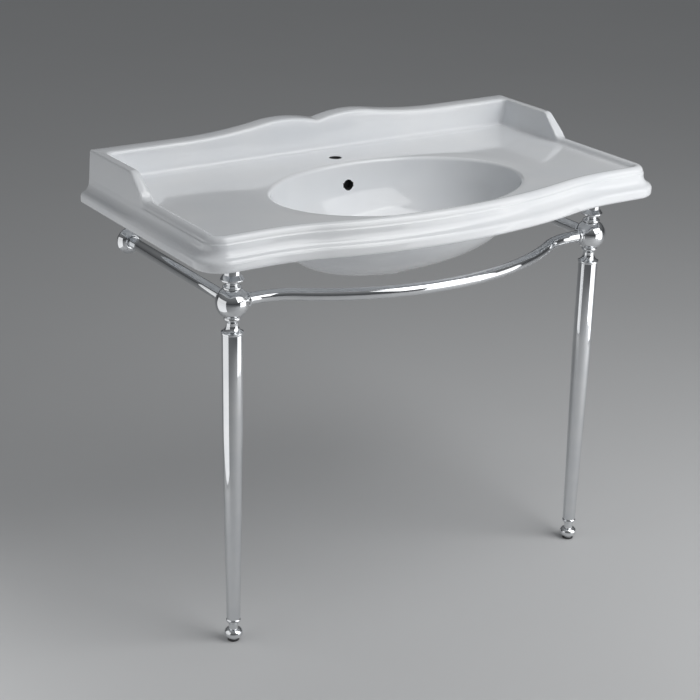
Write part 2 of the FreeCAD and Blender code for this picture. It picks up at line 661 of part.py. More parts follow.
def hub_ball(side, sign, place):
    """A ball with two flat lands, a bore for the stud, two rail sockets and grub screw holes."""
    body = turned(f"{side}_corner_ball", place, [
        ("stud_bore", "-hub_land"),
        ("hub_land_radius", "-hub_land"),
        ("hub_land_radius", "hub_land", "hub_radius", CENTRE_LEFT),
        ("stud_bore", "hub_land"),
    ])
    inwards = "socket_floor" if sign else "-hub_radius"
    reach = "hub_radius - socket_floor"
    bore(body, "front_socket", "YZ_Plane", "rail_bore", reach, ("0", "0", inwards))
    bore(body, "side_socket", "XZ_Plane", "rail_bore", reach, ("0", "0", "-hub_radius"))
    middle_side = "grub_place" if sign else "-grub_place"
    for name, x, y in (("front", middle_side, "0"), ("side", "0", "grub_place")):
        bore(body, f"{name}_grub_hole", "XY_Plane", "grub_radius + grub_fit", "hub_radius - rail_radius / 2",
             (x, y, "-hub_radius"))


def column_profile():
    """The turned column between the ball and the basin, from the middle of the ball."""
    return [
        ("stud_bore", "hub_land"),
        ("column_ring_inner", "hub_land"),
        ("column_ring_inner", "hub_land + column_ring_height",
         bulge("column_ring_height", "column_ring_bulge"), CENTRE_LEFT),
        ("column_neck_radius", "column_neck_low"),
        ("column_neck_radius", "column_neck_top"),
        ("cap_root_radius", "cap_low"),
        ("cap_radius", "cap_edge_low"),
        ("cap_radius", "cap_edge_low + cap_edge"),
        ("drum_radius", "cap_top"),
        ("drum_radius", "drum_top"),
        ("stud_bore", "drum_top"),
    ]


def collar_profile():
    """The turned collar between the ball and the leg tube, from the middle of the ball."""
    spigot = "tube_top_radius - tube_wall - spigot_fit"
    return [
        ("stud_bore", "-collar_low - spigot_length"),
        (spigot, "-collar_low - spigot_length"),
        (spigot, "-collar_low"),
        ("bell_radius", "-collar_low"),
        ("bell_radius", "-bell_low"),
        ("collar_neck_radius", "-collar_neck_low",
         "bell_low - collar_neck_low + 3", CENTRE_RIGHT),
        ("collar_neck_radius", "-collar_neck_top"),
        ("collar_ring_inner", "-hub_land - collar_ring_height"),
        ("collar_ring_inner", "-hub_land",
         bulge("collar_ring_height", "collar_ring_bulge"), CENTRE_LEFT),
        ("stud_bore", "-hub_land"),
    ]


def disc_profile(radius, low, high, hole="stud_bore"):
    return [(hole, low), (radius, low), (radius, high), (hole, high)]


def tube_profile():
    """The leg tube, straight and then tapering to the floor, heights from the floor."""
    top = "hub_height - collar_low"
    return [
        ("tube_foot_radius - tube_wall", "tube_foot"),
        ("tube_foot_radius", "tube_foot"),
        ("tube_top_radius", "taper_start"),
        ("tube_top_radius", top),
        ("tube_top_radius - tube_wall", top),
        ("tube_top_radius - tube_wall", "taper_start"),
    ]


def ferrule_profile():
    """The bead that closes the leg tube and takes the thread of the foot."""
    thread = "foot_stud_radius + foot_stud_fit"
    spigot = "tube_foot_radius - tube_wall - spigot_fit"
    return [
        (thread, "bead_low"),
        ("foot_bead_inner", "bead_low"),
        ("foot_bead_inner", "tube_foot", bulge("tube_foot - bead_low", "foot_bead_bulge"), CENTRE_LEFT),
        (spigot, "tube_foot"),
        (spigot, "tube_foot + spigot_length"),
        (thread, "tube_foot + spigot_length"),
    ]


def foot_profile():
    """The rounded levelling foot with its threaded stud."""
    neck_top = "bead_low - rest_gap"
    return [
        ("0", "glide_thickness"),
        ("foot_base_radius", "glide_thickness"),
        ("foot_base_radius", "foot_ball_low"),
        ("foot_ball_root", "foot_ball_low"),
        ("foot_ball_root", "foot_neck_low",
         bulge("foot_neck_low - foot_ball_low", "foot_ball_bulge"), CENTRE_LEFT),
        ("foot_neck_radius", "foot_neck_low"),
        ("foot_neck_radius", neck_top),
        ("foot_stud_radius", neck_top),
        ("foot_stud_radius", "foot_stud_top"),
        ("0", "foot_stud_top"),
    ]


def ring_profile():
    """The collar ring that covers the mouth of a rail socket."""
    return [
        ("rail_bore", "ring_start"),
        ("ring_radius", "ring_start"),
        ("ring_radius", "ring_start + ring_length", bulge("ring_length", "ring_bulge"), CENTRE_LEFT),
        ("rail_bore", "ring_start + ring_length"),
    ]


def rosette_profile():
    """The domed wall rosette, from the wall outwards."""
    hollow = "rosette_radius - rosette_wall"
    return [
        (hollow, "0"),
        ("rosette_radius", "0"),
        ("rosette_radius", "rosette_edge"),
        ("rosette_lip", "rosette_height", "rosette_dome", CENTRE_LEFT),
        ("rail_bore", "rosette_height"),
        ("rail_bore", "rosette_hollow"),
        (hollow, "rosette_hollow"),
    ]


def bracket_profile():
    """The wall bracket: a plate with a spigot that plugs into the side rail."""
    spigot = "rail_radius - rail_wall - rail_fit"
    return [
        ("0", "0"),
        ("bracket_radius", "0"),
        ("bracket_radius", "bracket_thickness"),
        (spigot, "bracket_thickness"),
        (spigot, "bracket_thickness + bracket_spigot"),
        ("0", "bracket_thickness + bracket_spigot"),
    ]


def make_leg(side, sign):
    """One leg: the turned pieces on its axis from the basin down to the floor."""
    hub = (f"{sign}leg_half_spacing", "leg_back", "hub_height")
    floor = (f"{sign}leg_half_spacing", "leg_back", "0")
    flange_top = "support_top - pad_thickness"
    hub_ball(side, sign, hub)
    turned(f"{side}_upper_column", hub, column_profile())
    turned(f"{side}_basin_support", hub, disc_profile("flange_radius", "drum_top", flange_top))
    turned(f"{side}_support_pad", hub, disc_profile("pad_radius", flange_top, "support_top"))
    turned(f"{side}_leg_stud", hub, disc_profile("stud_radius", "-stud_drop", "drum_top + 5", "0"))
    turned(f"{side}_leg_collar", hub, collar_profile())
    turned(f"{side}_leg_tube", floor, tube_profile())
    turned(f"{side}_leg_ferrule", floor, ferrule_profile())
    turned(f"{side}_levelling_foot", floor, foot_profile())
    turned(f"{side}_foot_glide", floor, disc_profile("glide_radius", "0", "glide_thickness", "0"))


def make_side_rail(side, sign):
    """The rail from a hub back to the wall, with its rings, rosette and bracket."""
    hub = (f"{sign}leg_half_spacing", "leg_back", "hub_height")
    wall = (f"{sign}leg_half_spacing", "basin_depth / 2", "hub_height")
    backwards = (FreeCAD.Vector(1, 0, 0), -90)
    outwards = (FreeCAD.Vector(1, 0, 0), 90)
    inwards = (FreeCAD.Vector(0, 1, 0), 90 if sign else -90)
    start = "socket_floor + rest_gap"
    end = "leg_to_wall - bracket_thickness - rest_gap"
    turned(f"{side}_side_rail", hub, disc_profile("rail_radius", start, end, "rail_radius - rail_wall"),
           backwards)
    turned(f"{side}_side_rail_ring", hub, ring_profile(), backwards)
    turned(f"{side}_front_rail_ring", hub, ring_profile(), inwards)
    turned(f"{side}_wall_rosette", wall, rosette_profile(), outwards)
    bracket = turned(f"{side}_wall_bracket", wall, bracket_profile(), outwards)
    for name, place in (("first", "bracket_hole_circle"), ("second", "-bracket_hole_circle")):
        bore(bracket, f"{name}_screw_hole", "XY_Plane", "bracket_hole_radius", "2 * bracket_thickness",
             (place, "0", "-bracket_thickness / 2"))


def make_front_rail():
    """The front rail: a tube that follows the bow of the basin from hub to hub."""
    body = new_body("front_rail", ("0", "leg_back", "hub_height"))
    end = "leg_half_spacing - socket_floor - rest_gap"
    path = new_sketch(body, "path", "XY_Plane")
    draw_outline(path, [
        (f"-({end})", "0"),
        ("-rail_straight", "0"),
        ("-rail_turn_side", "-rail_turn_reach", "rail_ogee_radius", CENTRE_RIGHT),
        ("rail_turn_side", "-rail_turn_reach", "rail_bow_radius", CENTRE_LEFT),
        ("rail_straight", "0", "rail_ogee_radius", CENTRE_RIGHT),
        (end, "0"),
    ], closed=False)
    section = new_sketch(body, "section", "YZ_Plane", f"-({end})")
    draw_circle(section, "0", "0", "rail_radius")
    draw_circle(section, "0", "0", "rail_radius - rail_wall")
    sweep = body.newObject("PartDesign::AdditivePipe", "front_rail_sweep")
    sweep.Profile = section
    sweep.Spine = (path, [])
    doc.recompute()


def make_grub_screws():
    """Four grub screws, two under each ball, that hold the rails in their sockets."""
    screws = []
    top = "hub_height - rail_radius"
    for side, sign, inwards in (("left", "-", "+"), ("right", "", "-")):
        leg = f"{sign}leg_half_spacing"
        for name, x, y in (("front", f"{leg} {inwards} grub_place", "leg_back"),
                           ("side", leg, "leg_back + grub_place")):
            shank = doc.addObject("Part::Cylinder", f"{side}_{name}_grub_shank")
            bind(shank, "Radius", "grub_radius")
            bind(shank, "Height", "grub_length")
            key = doc.addObject("Part::Prism", f"{side}_{name}_grub_key")
            key.Polygon = 6
            bind(key, "Circumradius", "grub_key_radius")
            bind(key, "Height", "grub_key_depth")
            for solid in (shank, key):
                for axis, text in zip("xyz", (x, y, f"{top} - grub_length")):
                    bind(solid, f"Placement.Base.{axis}", text)
            screw = doc.addObject("Part::Cut", f"{side}_{name}_grub_screw")
            screw.Base = shank
            screw.Tool = key
            screws.append(screw)
    group = doc.addObject("Part::Compound", "rail_grub_screws")
    group.Label = "rail_grub_screws"
    group.Links = screws
    return group


# ---------------------------------------------------------------- build

def check(thing):
    """Stops the build on a failed feature or a shape that isn't sound."""
    if thing.Shape.isNull() or not thing.Shape.isValid():
        raise ValueError(f"{thing.Label} has no sound shape")


def main():
    make_sheet()
    make_basin()
    for side, sign in (("left", "-"), ("right", "")):
        make_leg(side, sign)
        make_side_rail(side, sign)
    make_front_rail()
    make_grub_screws()
    doc.recompute()
    for thing in doc.Objects:
        if {"Invalid", "Error"} & set(thing.State):
            raise ValueError(f"{thing.Name} failed: {thing.State}")
    os.makedirs("parts", exist_ok=True)
    nodes = [thing for thing in doc.Objects if thing.TypeId in ("PartDesign::Body", "Part::Compound")]
    for node in nodes:
        check(node)
        node.Shape.exportStep(f"parts/{node.Label}.step")
        print(node.Label, round(node.Shape.Volume), "mm3", len(node.Shape.Faces), "faces")


main()
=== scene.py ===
"""Looks of a console basin of glazed fireclay that stands on two turned, chromed legs.

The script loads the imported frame, builds the visible pieces round it, dresses the frame's own nodes
and sets up a plain studio. It is laid out as an add-on, with one operator for each group of pieces.
Sizes in capitals are millimetres where nothing else is said. The basin's sections and stations have
y = 0 at the wall and z = 0 at its lower edge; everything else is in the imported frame's coordinates.
"""
import math

import bmesh
import bpy
import numpy as np
from bpy.props import FloatProperty, FloatVectorProperty, IntProperty, PointerProperty
from bpy.types import Operator, Panel, PropertyGroup
from mathutils import Matrix, Vector


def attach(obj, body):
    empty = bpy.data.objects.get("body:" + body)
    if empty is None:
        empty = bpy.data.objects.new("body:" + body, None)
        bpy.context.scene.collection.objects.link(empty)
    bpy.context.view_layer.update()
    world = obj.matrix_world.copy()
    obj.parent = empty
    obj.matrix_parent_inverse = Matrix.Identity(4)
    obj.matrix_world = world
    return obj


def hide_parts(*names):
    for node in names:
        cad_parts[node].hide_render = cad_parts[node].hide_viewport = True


bl_info = {
    "name": "Console basin on turned legs",
    "version": (1, 0, 0),
    "blender": (4, 5, 0),
    "location": "3D View > Sidebar > Basin",
    "description": "Builds a glazed console basin on chromed legs round its packed frame",
    "category": "Object",
}

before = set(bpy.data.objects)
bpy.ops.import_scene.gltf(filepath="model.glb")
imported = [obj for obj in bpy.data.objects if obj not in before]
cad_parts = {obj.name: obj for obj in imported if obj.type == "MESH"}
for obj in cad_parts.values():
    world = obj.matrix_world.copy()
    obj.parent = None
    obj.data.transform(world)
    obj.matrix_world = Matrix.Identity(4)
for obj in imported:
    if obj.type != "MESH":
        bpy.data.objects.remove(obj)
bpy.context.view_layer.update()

MM = 0.001
FLOOR_REACH = 30     # metres
SENSOR_WIDTH = 36    # millimetres
STAND = "stand_and_basin"
SIDES = (("left", -1), ("right", 1))

# ---------------------------------------------------------------- sizes, in millimetres

HALF_WIDTH = 500
DEPTH = 545
BASE = 757
FLANK_DEPTH = 493
CORNER_RADIUS = 52
BOW_HALF_SPAN = 380
OGEE_RADIUS = 410
BOW_RADIUS = (BOW_HALF_SPAN ** 2 + (DEPTH - FLANK_DEPTH) ** 2) / (2 * (DEPTH - FLANK_DEPTH)) - OGEE_RADIUS
TURN_ANGLE = math.asin(BOW_HALF_SPAN / (BOW_RADIUS + OGEE_RADIUS))

SKIRT_WALL = 22
REAR_WALL = 20
RIM_HEIGHT = 57.5
DECK = 47
CEILING = 32
SPLASH_HEIGHT = 100
SPLASH_THICKNESS = 34
WING_SLOPE = (-232, -206)    # where the rim has grown into the wing, from nothing to all
WING_LEVEL = -160            # from here back the wing's inner face starts to run to the deck's corner
MITRE_START = -16            # last station of the side before the back corner
MITRE_MIDDLE = -472
BACK_START = -458            # first station of the backsplash after the back corner
DECK_CORNER = (-446, -43)    # middle of the round in the deck's back corner
NOTCH_SPAN = 14
HUMP_HALF_SPAN = 300
HUMP_PEAK = 80
HUMP_RISE = 18
HUMP_RADIUS = 300
HUMP_FLOW = ((HUMP_HALF_SPAN - HUMP_PEAK) ** 2 + HUMP_RISE ** 2) / (2 * HUMP_RISE) - HUMP_RADIUS

BOWL_MIDDLE = 315
BOWL_HALF_LENGTH = 256
BOWL_HALF_WIDTH = 173
BOWL_WALL = 12
BOWL_DEPTH = 160
BOWL_SET_BACK = 35
BOWL_SHARES = ((0.0, 0.0, 1.0, 1.0), (0.14, 0.052, 0.992, 0.987), (0.30, 0.164, 0.968, 0.948),
               (0.48, 0.333, 0.915, 0.864), (0.66, 0.536, 0.815, 0.715), (0.82, 0.743, 0.655, 0.50),
               (0.93, 0.897, 0.46, 0.30), (1.0, 1.0, 0.18, 0.16))
OPENING_ROUND = 7
WASTE_RADIUS = 23
BOSS_RADIUS = 36
BOSS_HEIGHT = 3
BOSS_FOOT = DECK - BOWL_DEPTH - BOWL_WALL - BOSS_HEIGHT
WASTE_ROUND = 3
CHAMBER_HALF_WIDTH = 19.5
CHAMBER_HEIGHTS = (-16.5, 35)
CHAMBER_REACH = (3, 27)      # from the bowl's back edge towards the wall

TAP_RADIUS = 12
TAP_MIDDLE = 96
TAP_FLARE = 2.5
OVERFLOW_RADIUS = 10.5
OVERFLOW_HEIGHT = 3
OVERFLOW_FLARE = 1.6
OVERFLOW_SPAN = (-10.5, 5.6)    # from the bowl's back edge, away from the wall
OVERFLOW_ZONE = (-160, -100)    # where the walls of the overflow hole lie, which get the painted shade
HOLE_MARGIN = 0.2
OVERCUT = 5
LAND_RADIUS = 36
LAND_HEIGHT = 5
WALL_BOLT = (140, 16, 7)        # place to the side, height, radius

LEG_SIDE = 403
LEG_TO_WALL = 402
LEG_Y = DEPTH / 2 - LEG_TO_WALL
HUB = 670
HUB_RADIUS = 30
HUB_LAND = 25
SOCKET_FLOOR = 18
RAIL_RADIUS = 11
RAIL_STRAIGHT = 355
RAIL_REACH = 108
RAIL_OGEE = 137
CLEARANCE = 0.3
RING_START = math.sqrt(HUB_RADIUS ** 2 - RAIL_RADIUS ** 2) + CLEARANCE
SOCKET_RADIUS = 11.1
SOCKET_END = 35
GRUB_PLACE = 23
GRUB_RADIUS = 2.55
GRUB_SPAN = (-35, -5)

BASIN_SHARP = 38     # degrees over which an edge stays sharp
METAL_SHARP = 32
ROUND_STEPS = 64
BORE_STEPS = 24
BOLT_STEPS = 32
LAND_STEPS = 96
BALL_ARC_STEPS = 40
RAIL_ARC_STEPS = 40
COLLAR_ARC_STEPS = 14


# ---------------------------------------------------------------- curves in plan and section

def arc(centre, radius, start, end, count):
    """Points along an arc between two angles in degrees, without the first one."""
    angles = np.radians(np.linspace(start, end, count + 1)[1:])
    return [(centre[0] + radius * math.cos(a), centre[1] + radius * math.sin(a)) for a in angles]


def smooth(value, low, high):
    """0 below low, 1 above high, with a soft step between them."""
    share = min(max((value - low) / (high - low), 0.0), 1.0)
    return share * share * (3 - 2 * share)


def soft_max(a, b, blend):
    """The larger of two values, with their crossing rounded over a blend."""
    near = max(blend - abs(a - b), 0.0) / blend
    return max(a, b) + near * near * blend / 4


def soft_min(a, b, blend):
    """The smaller of two values, with their crossing rounded over a blend."""
    return -soft_max(-a, -b, blend)


def spline_points(points, count):
    """Points spread evenly along a natural cubic spline through the given ones."""
    points = np.array(points, float)
    knots = np.concatenate(([0], np.cumsum(np.linalg.norm(np.diff(points, axis=0), axis=1))))
    gaps = np.diff(knots)
    size = len(points)
    matrix = np.eye(size)
    right = np.zeros_like(points)
    for i in range(1, size - 1):
        matrix[i, i - 1:i + 2] = gaps[i - 1], 2 * (gaps[i - 1] + gaps[i]), gaps[i]
        right[i] = 6 * ((points[i + 1] - points[i]) / gaps[i] - (points[i] - points[i - 1]) / gaps[i - 1])
    bend = np.linalg.solve(matrix, right)
    found = []
    for place in np.linspace(0, knots[-1], count):
        i = min(int(np.searchsorted(knots, place, side="right")) - 1, size - 2)
        a, b, gap = knots[i + 1] - place, place - knots[i], gaps[i]
        found.append((bend[i] * a ** 3 + bend[i + 1] * b ** 3) / (6 * gap)
                     + (points[i] / gap - bend[i] * gap / 6) * a
                     + (points[i + 1] / gap - bend[i + 1] * gap / 6) * b)
    return np.array(found)


def splash_top(x):
    """Height of the backsplash at a place along the wall."""
    side = math.hypot(x, 2.0)
    turn = HUMP_PEAK + (HUMP_HALF_SPAN - HUMP_PEAK) * HUMP_RADIUS / (HUMP_RADIUS + HUMP_FLOW)
    if side >= HUMP_HALF_SPAN:
        return SPLASH_HEIGHT
    if side >= turn:
        run = HUMP_HALF_SPAN - side
        return SPLASH_HEIGHT + HUMP_FLOW - math.sqrt(HUMP_FLOW ** 2 - run ** 2)
    run = side - HUMP_PEAK
    return SPLASH_HEIGHT + HUMP_RISE - HUMP_RADIUS + math.sqrt(HUMP_RADIUS ** 2 - run ** 2)


def wing_top(y):
    """Height of a wing at a distance in front of the wall: level, then sloped down to the rim."""
    climb = (219.5 + y) / 50
    climb = soft_min(soft_max(climb, 0, 0.22), 1, 0.12)
    return RIM_HEIGHT + (SPLASH_HEIGHT - RIM_HEIGHT) * climb


# ---------------------------------------------------------------- the basin's sections

INNER_SKIRT = 7      # rows up the inside of the skirt and round its lower corner
OUTER = 42           # rows up to the top of the rim; the rest run down to the deck


def low_rows(inset):
    """Inside of the skirt, from the ceiling down to the lower edge."""
    rows = [(inset, CEILING), (inset, 22), (inset, 12), (inset, 3)]
    return rows + arc((inset - 3, 3), 3, 0, -90, 3)


def moulded_rows():
    """Section of the moulded edge as (inset, height): face, swell, cove, ledge, rolled rim, slope."""
    rows = low_rows(SKIRT_WALL)
    rows += [(6, 0)] + arc((6, 6), 6, 270, 180, 5)
    rows += [(0, 9.5), (0, 13)]
    rows += arc((9.75, 13), 9.75, 180, 112.62, 5)
    rows += arc((-1.19, 39.25), 18.69, -67.38, -0.77, 9)
    rows += [(17.5, 43.7), (17.9, 44.6), (18.7, 45.3), (19.4, 46.2)]
    rows += arc((31, 46), 11.5, 180, 90, 9)
    rows += arc((31, 47.16), 10.34, 90, 29.5, 6)
    rows += arc((49, 57.34), 10.34, 209.5, 270, 6)
    return np.array(rows)


def wing_rows(top):
    """Section through a wing of that height, with the rows of moulded_rows."""
    shoulder = top - 4
    foot = 47 + min(7.0, (shoulder - 47) * 0.85)
    hollow = foot - 47

    def outer(z):
        return 18.8 + 3.2 * (z - 49) / 51

    def inner(z):
        return 45 - 7 * (z - 47) / 53

    rows = [tuple(row) for row in moulded_rows()[:29]]
    rows += [(17.7, 41.5), (18.2, 43.5), (18.6, 46), (18.8, 49)]
    rows += [(outer(z), z) for z in np.linspace(49, shoulder, 5)[1:]]
    rows += arc((outer(shoulder) + 4, shoulder), 4, 180, 90, 5)
    rows += [(inner(shoulder) - 4, top)]
    rows += arc((inner(shoulder) - 4, shoulder), 4, 90, 0, 4)
    middle = (shoulder + foot) / 2
    rows += [(inner(middle), middle), (inner(foot), foot)]
    rows += arc((inner(foot) + hollow, foot), hollow, 180, 270, 5)
    return np.array(rows)


def back_rows(top):
    """Section through the backsplash as (distance from the wall, height)."""
    rows = low_rows(REAR_WALL)
    rows += [(1.5, 0)] + arc((1.5, 1.5), 1.5, 270, 180, 5)
    rows += [(0, z) for z in (5, 13, 14.8, 16.6, 18.4, 20.2, 22)]
    rows += [(0, z) for z in np.linspace(22, 39, 10)[1:]]
    rows += [(0, z) for z in (42, 44, 46, 49)]
    rows += [(0, z) for z in np.linspace(49, top - 1.5, 5)[1:]]
    rows += arc((1.5, top - 1.5), 1.5, 180, 90, 5)
    rows += [(27, top)] + arc((27, top - 7), 7, 90, 0, 4)
    rows += [(SPLASH_THICKNESS, (top - 7 + 54) / 2), (SPLASH_THICKNESS, 54)]
    rows += arc((SPLASH_THICKNESS + 7, 54), 7, 180, 270, 5)
    return np.array(rows)


# ---------------------------------------------------------------- the basin's stations

def front_stations():
    """Stations from the middle of the bow round the ogee, the flank and the front corner."""
    places = [((-BOW_RADIUS * math.sin(a), BOW_RADIUS - DEPTH - BOW_RADIUS * math.cos(a)), a)
              for a in np.linspace(0, TURN_ANGLE, 44)]
    ogee = (-BOW_HALF_SPAN, -FLANK_DEPTH - OGEE_RADIUS)
    places += [((ogee[0] + OGEE_RADIUS * math.sin(a), ogee[1] + OGEE_RADIUS * math.cos(a)), a)
               for a in np.linspace(TURN_ANGLE, 0, 25)[1:]]
    corner = (-HALF_WIDTH + CORNER_RADIUS, -FLANK_DEPTH + CORNER_RADIUS)
    places += [((x, -FLANK_DEPTH), 0.0) for x in np.linspace(-BOW_HALF_SPAN, corner[0], 13)[1:]]
    places += [((corner[0] - CORNER_RADIUS * math.sin(a), corner[1] - CORNER_RADIUS * math.cos(a)), a)
               for a in np.linspace(0, math.pi / 2, 25)[1:]]
    rows = moulded_rows()
    stations = []
    for (x, y), a in places:
        stations.append([(x + inset * math.sin(a), y + inset * math.cos(a), z) for inset, z in rows])
    return stations


def side_stations():
    """Stations along the left side, where the rim grows into the wing."""
    plain = moulded_rows()
    stations = []
    level = [-FLANK_DEPTH + CORNER_RADIUS, -235, WING_LEVEL, MITRE_START]
    outer = np.concatenate([np.linspace(a, b, n + 1)[1:] for a, b, n in zip(level, level[1:], (26, 34, 16))])
    for y in outer:
        behind = min(max((y - WING_LEVEL) / (MITRE_START - WING_LEVEL), 0), 1)
        inner = y if y <= WING_LEVEL else WING_LEVEL + (DECK_CORNER[1] - WING_LEVEL) * behind
        rows = plain + (wing_rows(wing_top(y)) - plain) * smooth(y, *WING_SLOPE)
        stations.append([(-HALF_WIDTH + inset, y if INNER_SKIRT <= i < OUTER else inner, z)
                         for i, (inset, z) in enumerate(rows)])
    return stations


def corner_stations():
    """Stations round the back corner, where the wing meets the backsplash."""
    wing, back = wing_rows(SPLASH_HEIGHT), back_rows(SPLASH_HEIGHT)
    middle = DECK_CORNER
    reach = (HALF_WIDTH + middle[0], -middle[1])
    stations = []
    for degrees, on_wing in ((15, True), (30, True), (45, True),
                             (45, False), (60, False), (75, False), (90, False)):
        angle = math.radians(degrees)
        station = []
        for i, ((inset, z), (distance, back_z)) in enumerate(zip(wing, back)):
            if i >= OUTER:
                station.append((middle[0] - (reach[0] - inset) * math.cos(angle),
                                middle[1] + (reach[1] - distance) * math.sin(angle),
                                z + (back_z - z) * degrees / 90))
            elif on_wing:
                start, end = (middle[1], -(inset - 2)) if i < INNER_SKIRT else (MITRE_START, 0)
                station.append((-HALF_WIDTH + inset, start + (end - start) * degrees / 45, z))
            else:
                end = middle[0] if i < INNER_SKIRT else BACK_START
                station.append((MITRE_MIDDLE + (end - MITRE_MIDDLE) * (degrees - 45) / 45, -distance, back_z))
        stations.append(station)
    return stations


def back_stations():
    """Stations along the backsplash, from its corner to the notch in the middle."""
    runs = ((BACK_START, -HUMP_HALF_SPAN, 16), (-HUMP_HALF_SPAN, -NOTCH_SPAN, 52), (-NOTCH_SPAN, 0, 10))
    outer = np.concatenate([np.linspace(a, b, n + 1)[1:] for a, b, n in runs])
    stations = []
    for x in outer:
        inner = DECK_CORNER[0] + (x - BACK_START) * -DECK_CORNER[0] / -BACK_START
        far, near = back_rows(splash_top(x)), back_rows(splash_top(inner))
        stations.append([(inner if i < INNER_SKIRT or i >= OUTER else x, -row[0], row[1])
                         for i, row in enumerate(np.concatenate((far[:OUTER], near[OUTER:])))])
    return stations


def bowl_curve(wall, lift):
    """Rows of the bowl as half length, half width, height and set-back, from the deck down."""
    rows = [(length * BOWL_HALF_LENGTH + wall, width * BOWL_HALF_WIDTH + wall,
             DECK - depth * (BOWL_DEPTH + wall) - lift * (1 - depth), back * BOWL_SET_BACK)
            for depth, back, length, width in BOWL_SHARES]
    return [tuple(row) for row in spline_points(rows, 34)]


def bowl_rows():
    """Rows of the bowl in over its edge, down inside it, through the waste and back up outside."""
    rows = []
    for angle in np.radians(np.linspace(0, 90, 7)[1:]):
        out = OPENING_ROUND * (1 - math.sin(angle))
        rows.append((BOWL_HALF_LENGTH + out, BOWL_HALF_WIDTH + out,
                     DECK - OPENING_ROUND * (1 - math.cos(angle)), 0))
    rows += [row for row in bowl_curve(0, 0) if row[2] < DECK - OPENING_ROUND - 2]
    floor = DECK - BOWL_DEPTH
    rings = [(WASTE_RADIUS + WASTE_ROUND, floor)]
    rings += arc((WASTE_RADIUS + WASTE_ROUND, floor - WASTE_ROUND), WASTE_ROUND, 90, 180, 4)
    rings += [(WASTE_RADIUS, BOSS_FOOT + 1)] + arc((WASTE_RADIUS + 1, BOSS_FOOT + 1), 1, 180, 270, 2)
    rings += [(BOSS_RADIUS - 2, BOSS_FOOT)] + arc((BOSS_RADIUS - 2, BOSS_FOOT + 2), 2, 270, 360, 3)
    rows += [(r, r, z, BOWL_SET_BACK) for r, z in rings + [(BOSS_RADIUS, BOSS_FOOT + BOSS_HEIGHT)]]
    rows += [row for row in bowl_curve(BOWL_WALL, 3)[::-1] if row[2] < CEILING - 7]
    length, width, _, back = rows[-1]
    for angle in np.radians((22.5, 45, 67.5, 90)):
        out = 1.5 + 6 * (1 - math.cos(angle))
        rows.append((length + out, width + out, CEILING - 6 + 6 * math.sin(angle), back))
    return rows


def basin_loop(section, oval):
    """One closed loop of points: the section, the deck, the bowl and back along the ceiling."""
    foot = section[-1]
    turn = math.atan2((foot[1] + BOWL_MIDDLE) / BOWL_HALF_WIDTH, foot[0] / BOWL_HALF_LENGTH)

    def on_oval(length, width, z, back):
        return np.array((length * math.cos(turn), width * math.sin(turn) + back - BOWL_MIDDLE, z))

    edge = on_oval(BOWL_HALF_LENGTH + OPENING_ROUND, BOWL_HALF_WIDTH + OPENING_ROUND, DECK, 0)
    loop = [np.array(point) for point in section]
    loop += [loop[-1] + (edge - loop[-1]) * share for share in np.linspace(0, 1, 8)[1:]]
    loop += [on_oval(*row) for row in oval]
    loop += [loop[-1] + (loop[0] - loop[-1]) * share for share in np.linspace(0, 1, 7)[1:-1]]
    return loop


def basin_shell():
    """The moulded basin as one closed mesh, before its holes are cut."""
    oval = bowl_rows()
    half = [basin_loop(section, oval)
            for section in front_stations() + side_stations() + corner_stations() + back_stations()]
    other = [[point * (-1, 1, 1) for point in loop] for loop in half[-2:0:-1]]
    loops = np.array(half + other)
    loops[:, :, 1] += DEPTH / 2
    loops[:, :, 2] += BASE
    count, rows = loops.shape[:2]
    faces = [(i * rows + j, ((i + 1) % count) * rows + j,
              ((i + 1) % count) * rows + (j + 1) % rows, i * rows + (j + 1) % rows)
             for i in range(count) for j in range(rows)]
    return solid_mesh("basin_shell", loops.reshape(-1, 3) * MM, faces)


# ---------------------------------------------------------------- mesh helpers

def solid_mesh(name, points, faces, merge=1e-6):
    """A mesh with its doubles merged and its faces turned outwards."""
    mesh = bpy.data.meshes.new(name)
    mesh.from_pydata([tuple(point) for point in points], [], faces)
    tidy_mesh(mesh, merge)
    return mesh


def tidy_mesh(mesh, merge=1e-6):
    """Merges doubles, drops slivers and turns the faces outwards."""
    work = bmesh.new()
    work.from_mesh(mesh)
    bmesh.ops.remove_doubles(work, verts=work.verts, dist=merge)
    bmesh.ops.dissolve_degenerate(work, edges=work.edges, dist=merge)
    bmesh.ops.recalc_face_normals(work, faces=work.faces)
    work.to_mesh(mesh)
    work.free()


def new_object(name, data):
    """An object with that data, in the scene."""
    thing = bpy.data.objects.new(name, data)
    bpy.context.scene.collection.objects.link(thing)
    return thing


def applied(thing):
    """The object's mesh with all its modifiers in it."""
    bpy.context.view_layer.update()
    shown = bpy.context.evaluated_depsgraph_get()
    return bpy.data.meshes.new_from_object(thing.evaluated_get(shown), depsgraph=shown)


def shade(mesh, degrees):
    """Smooth shading, with edges sharp over an angle."""
    mesh.shade_smooth()
    mesh.set_sharp_from_angle(angle=math.radians(degrees))


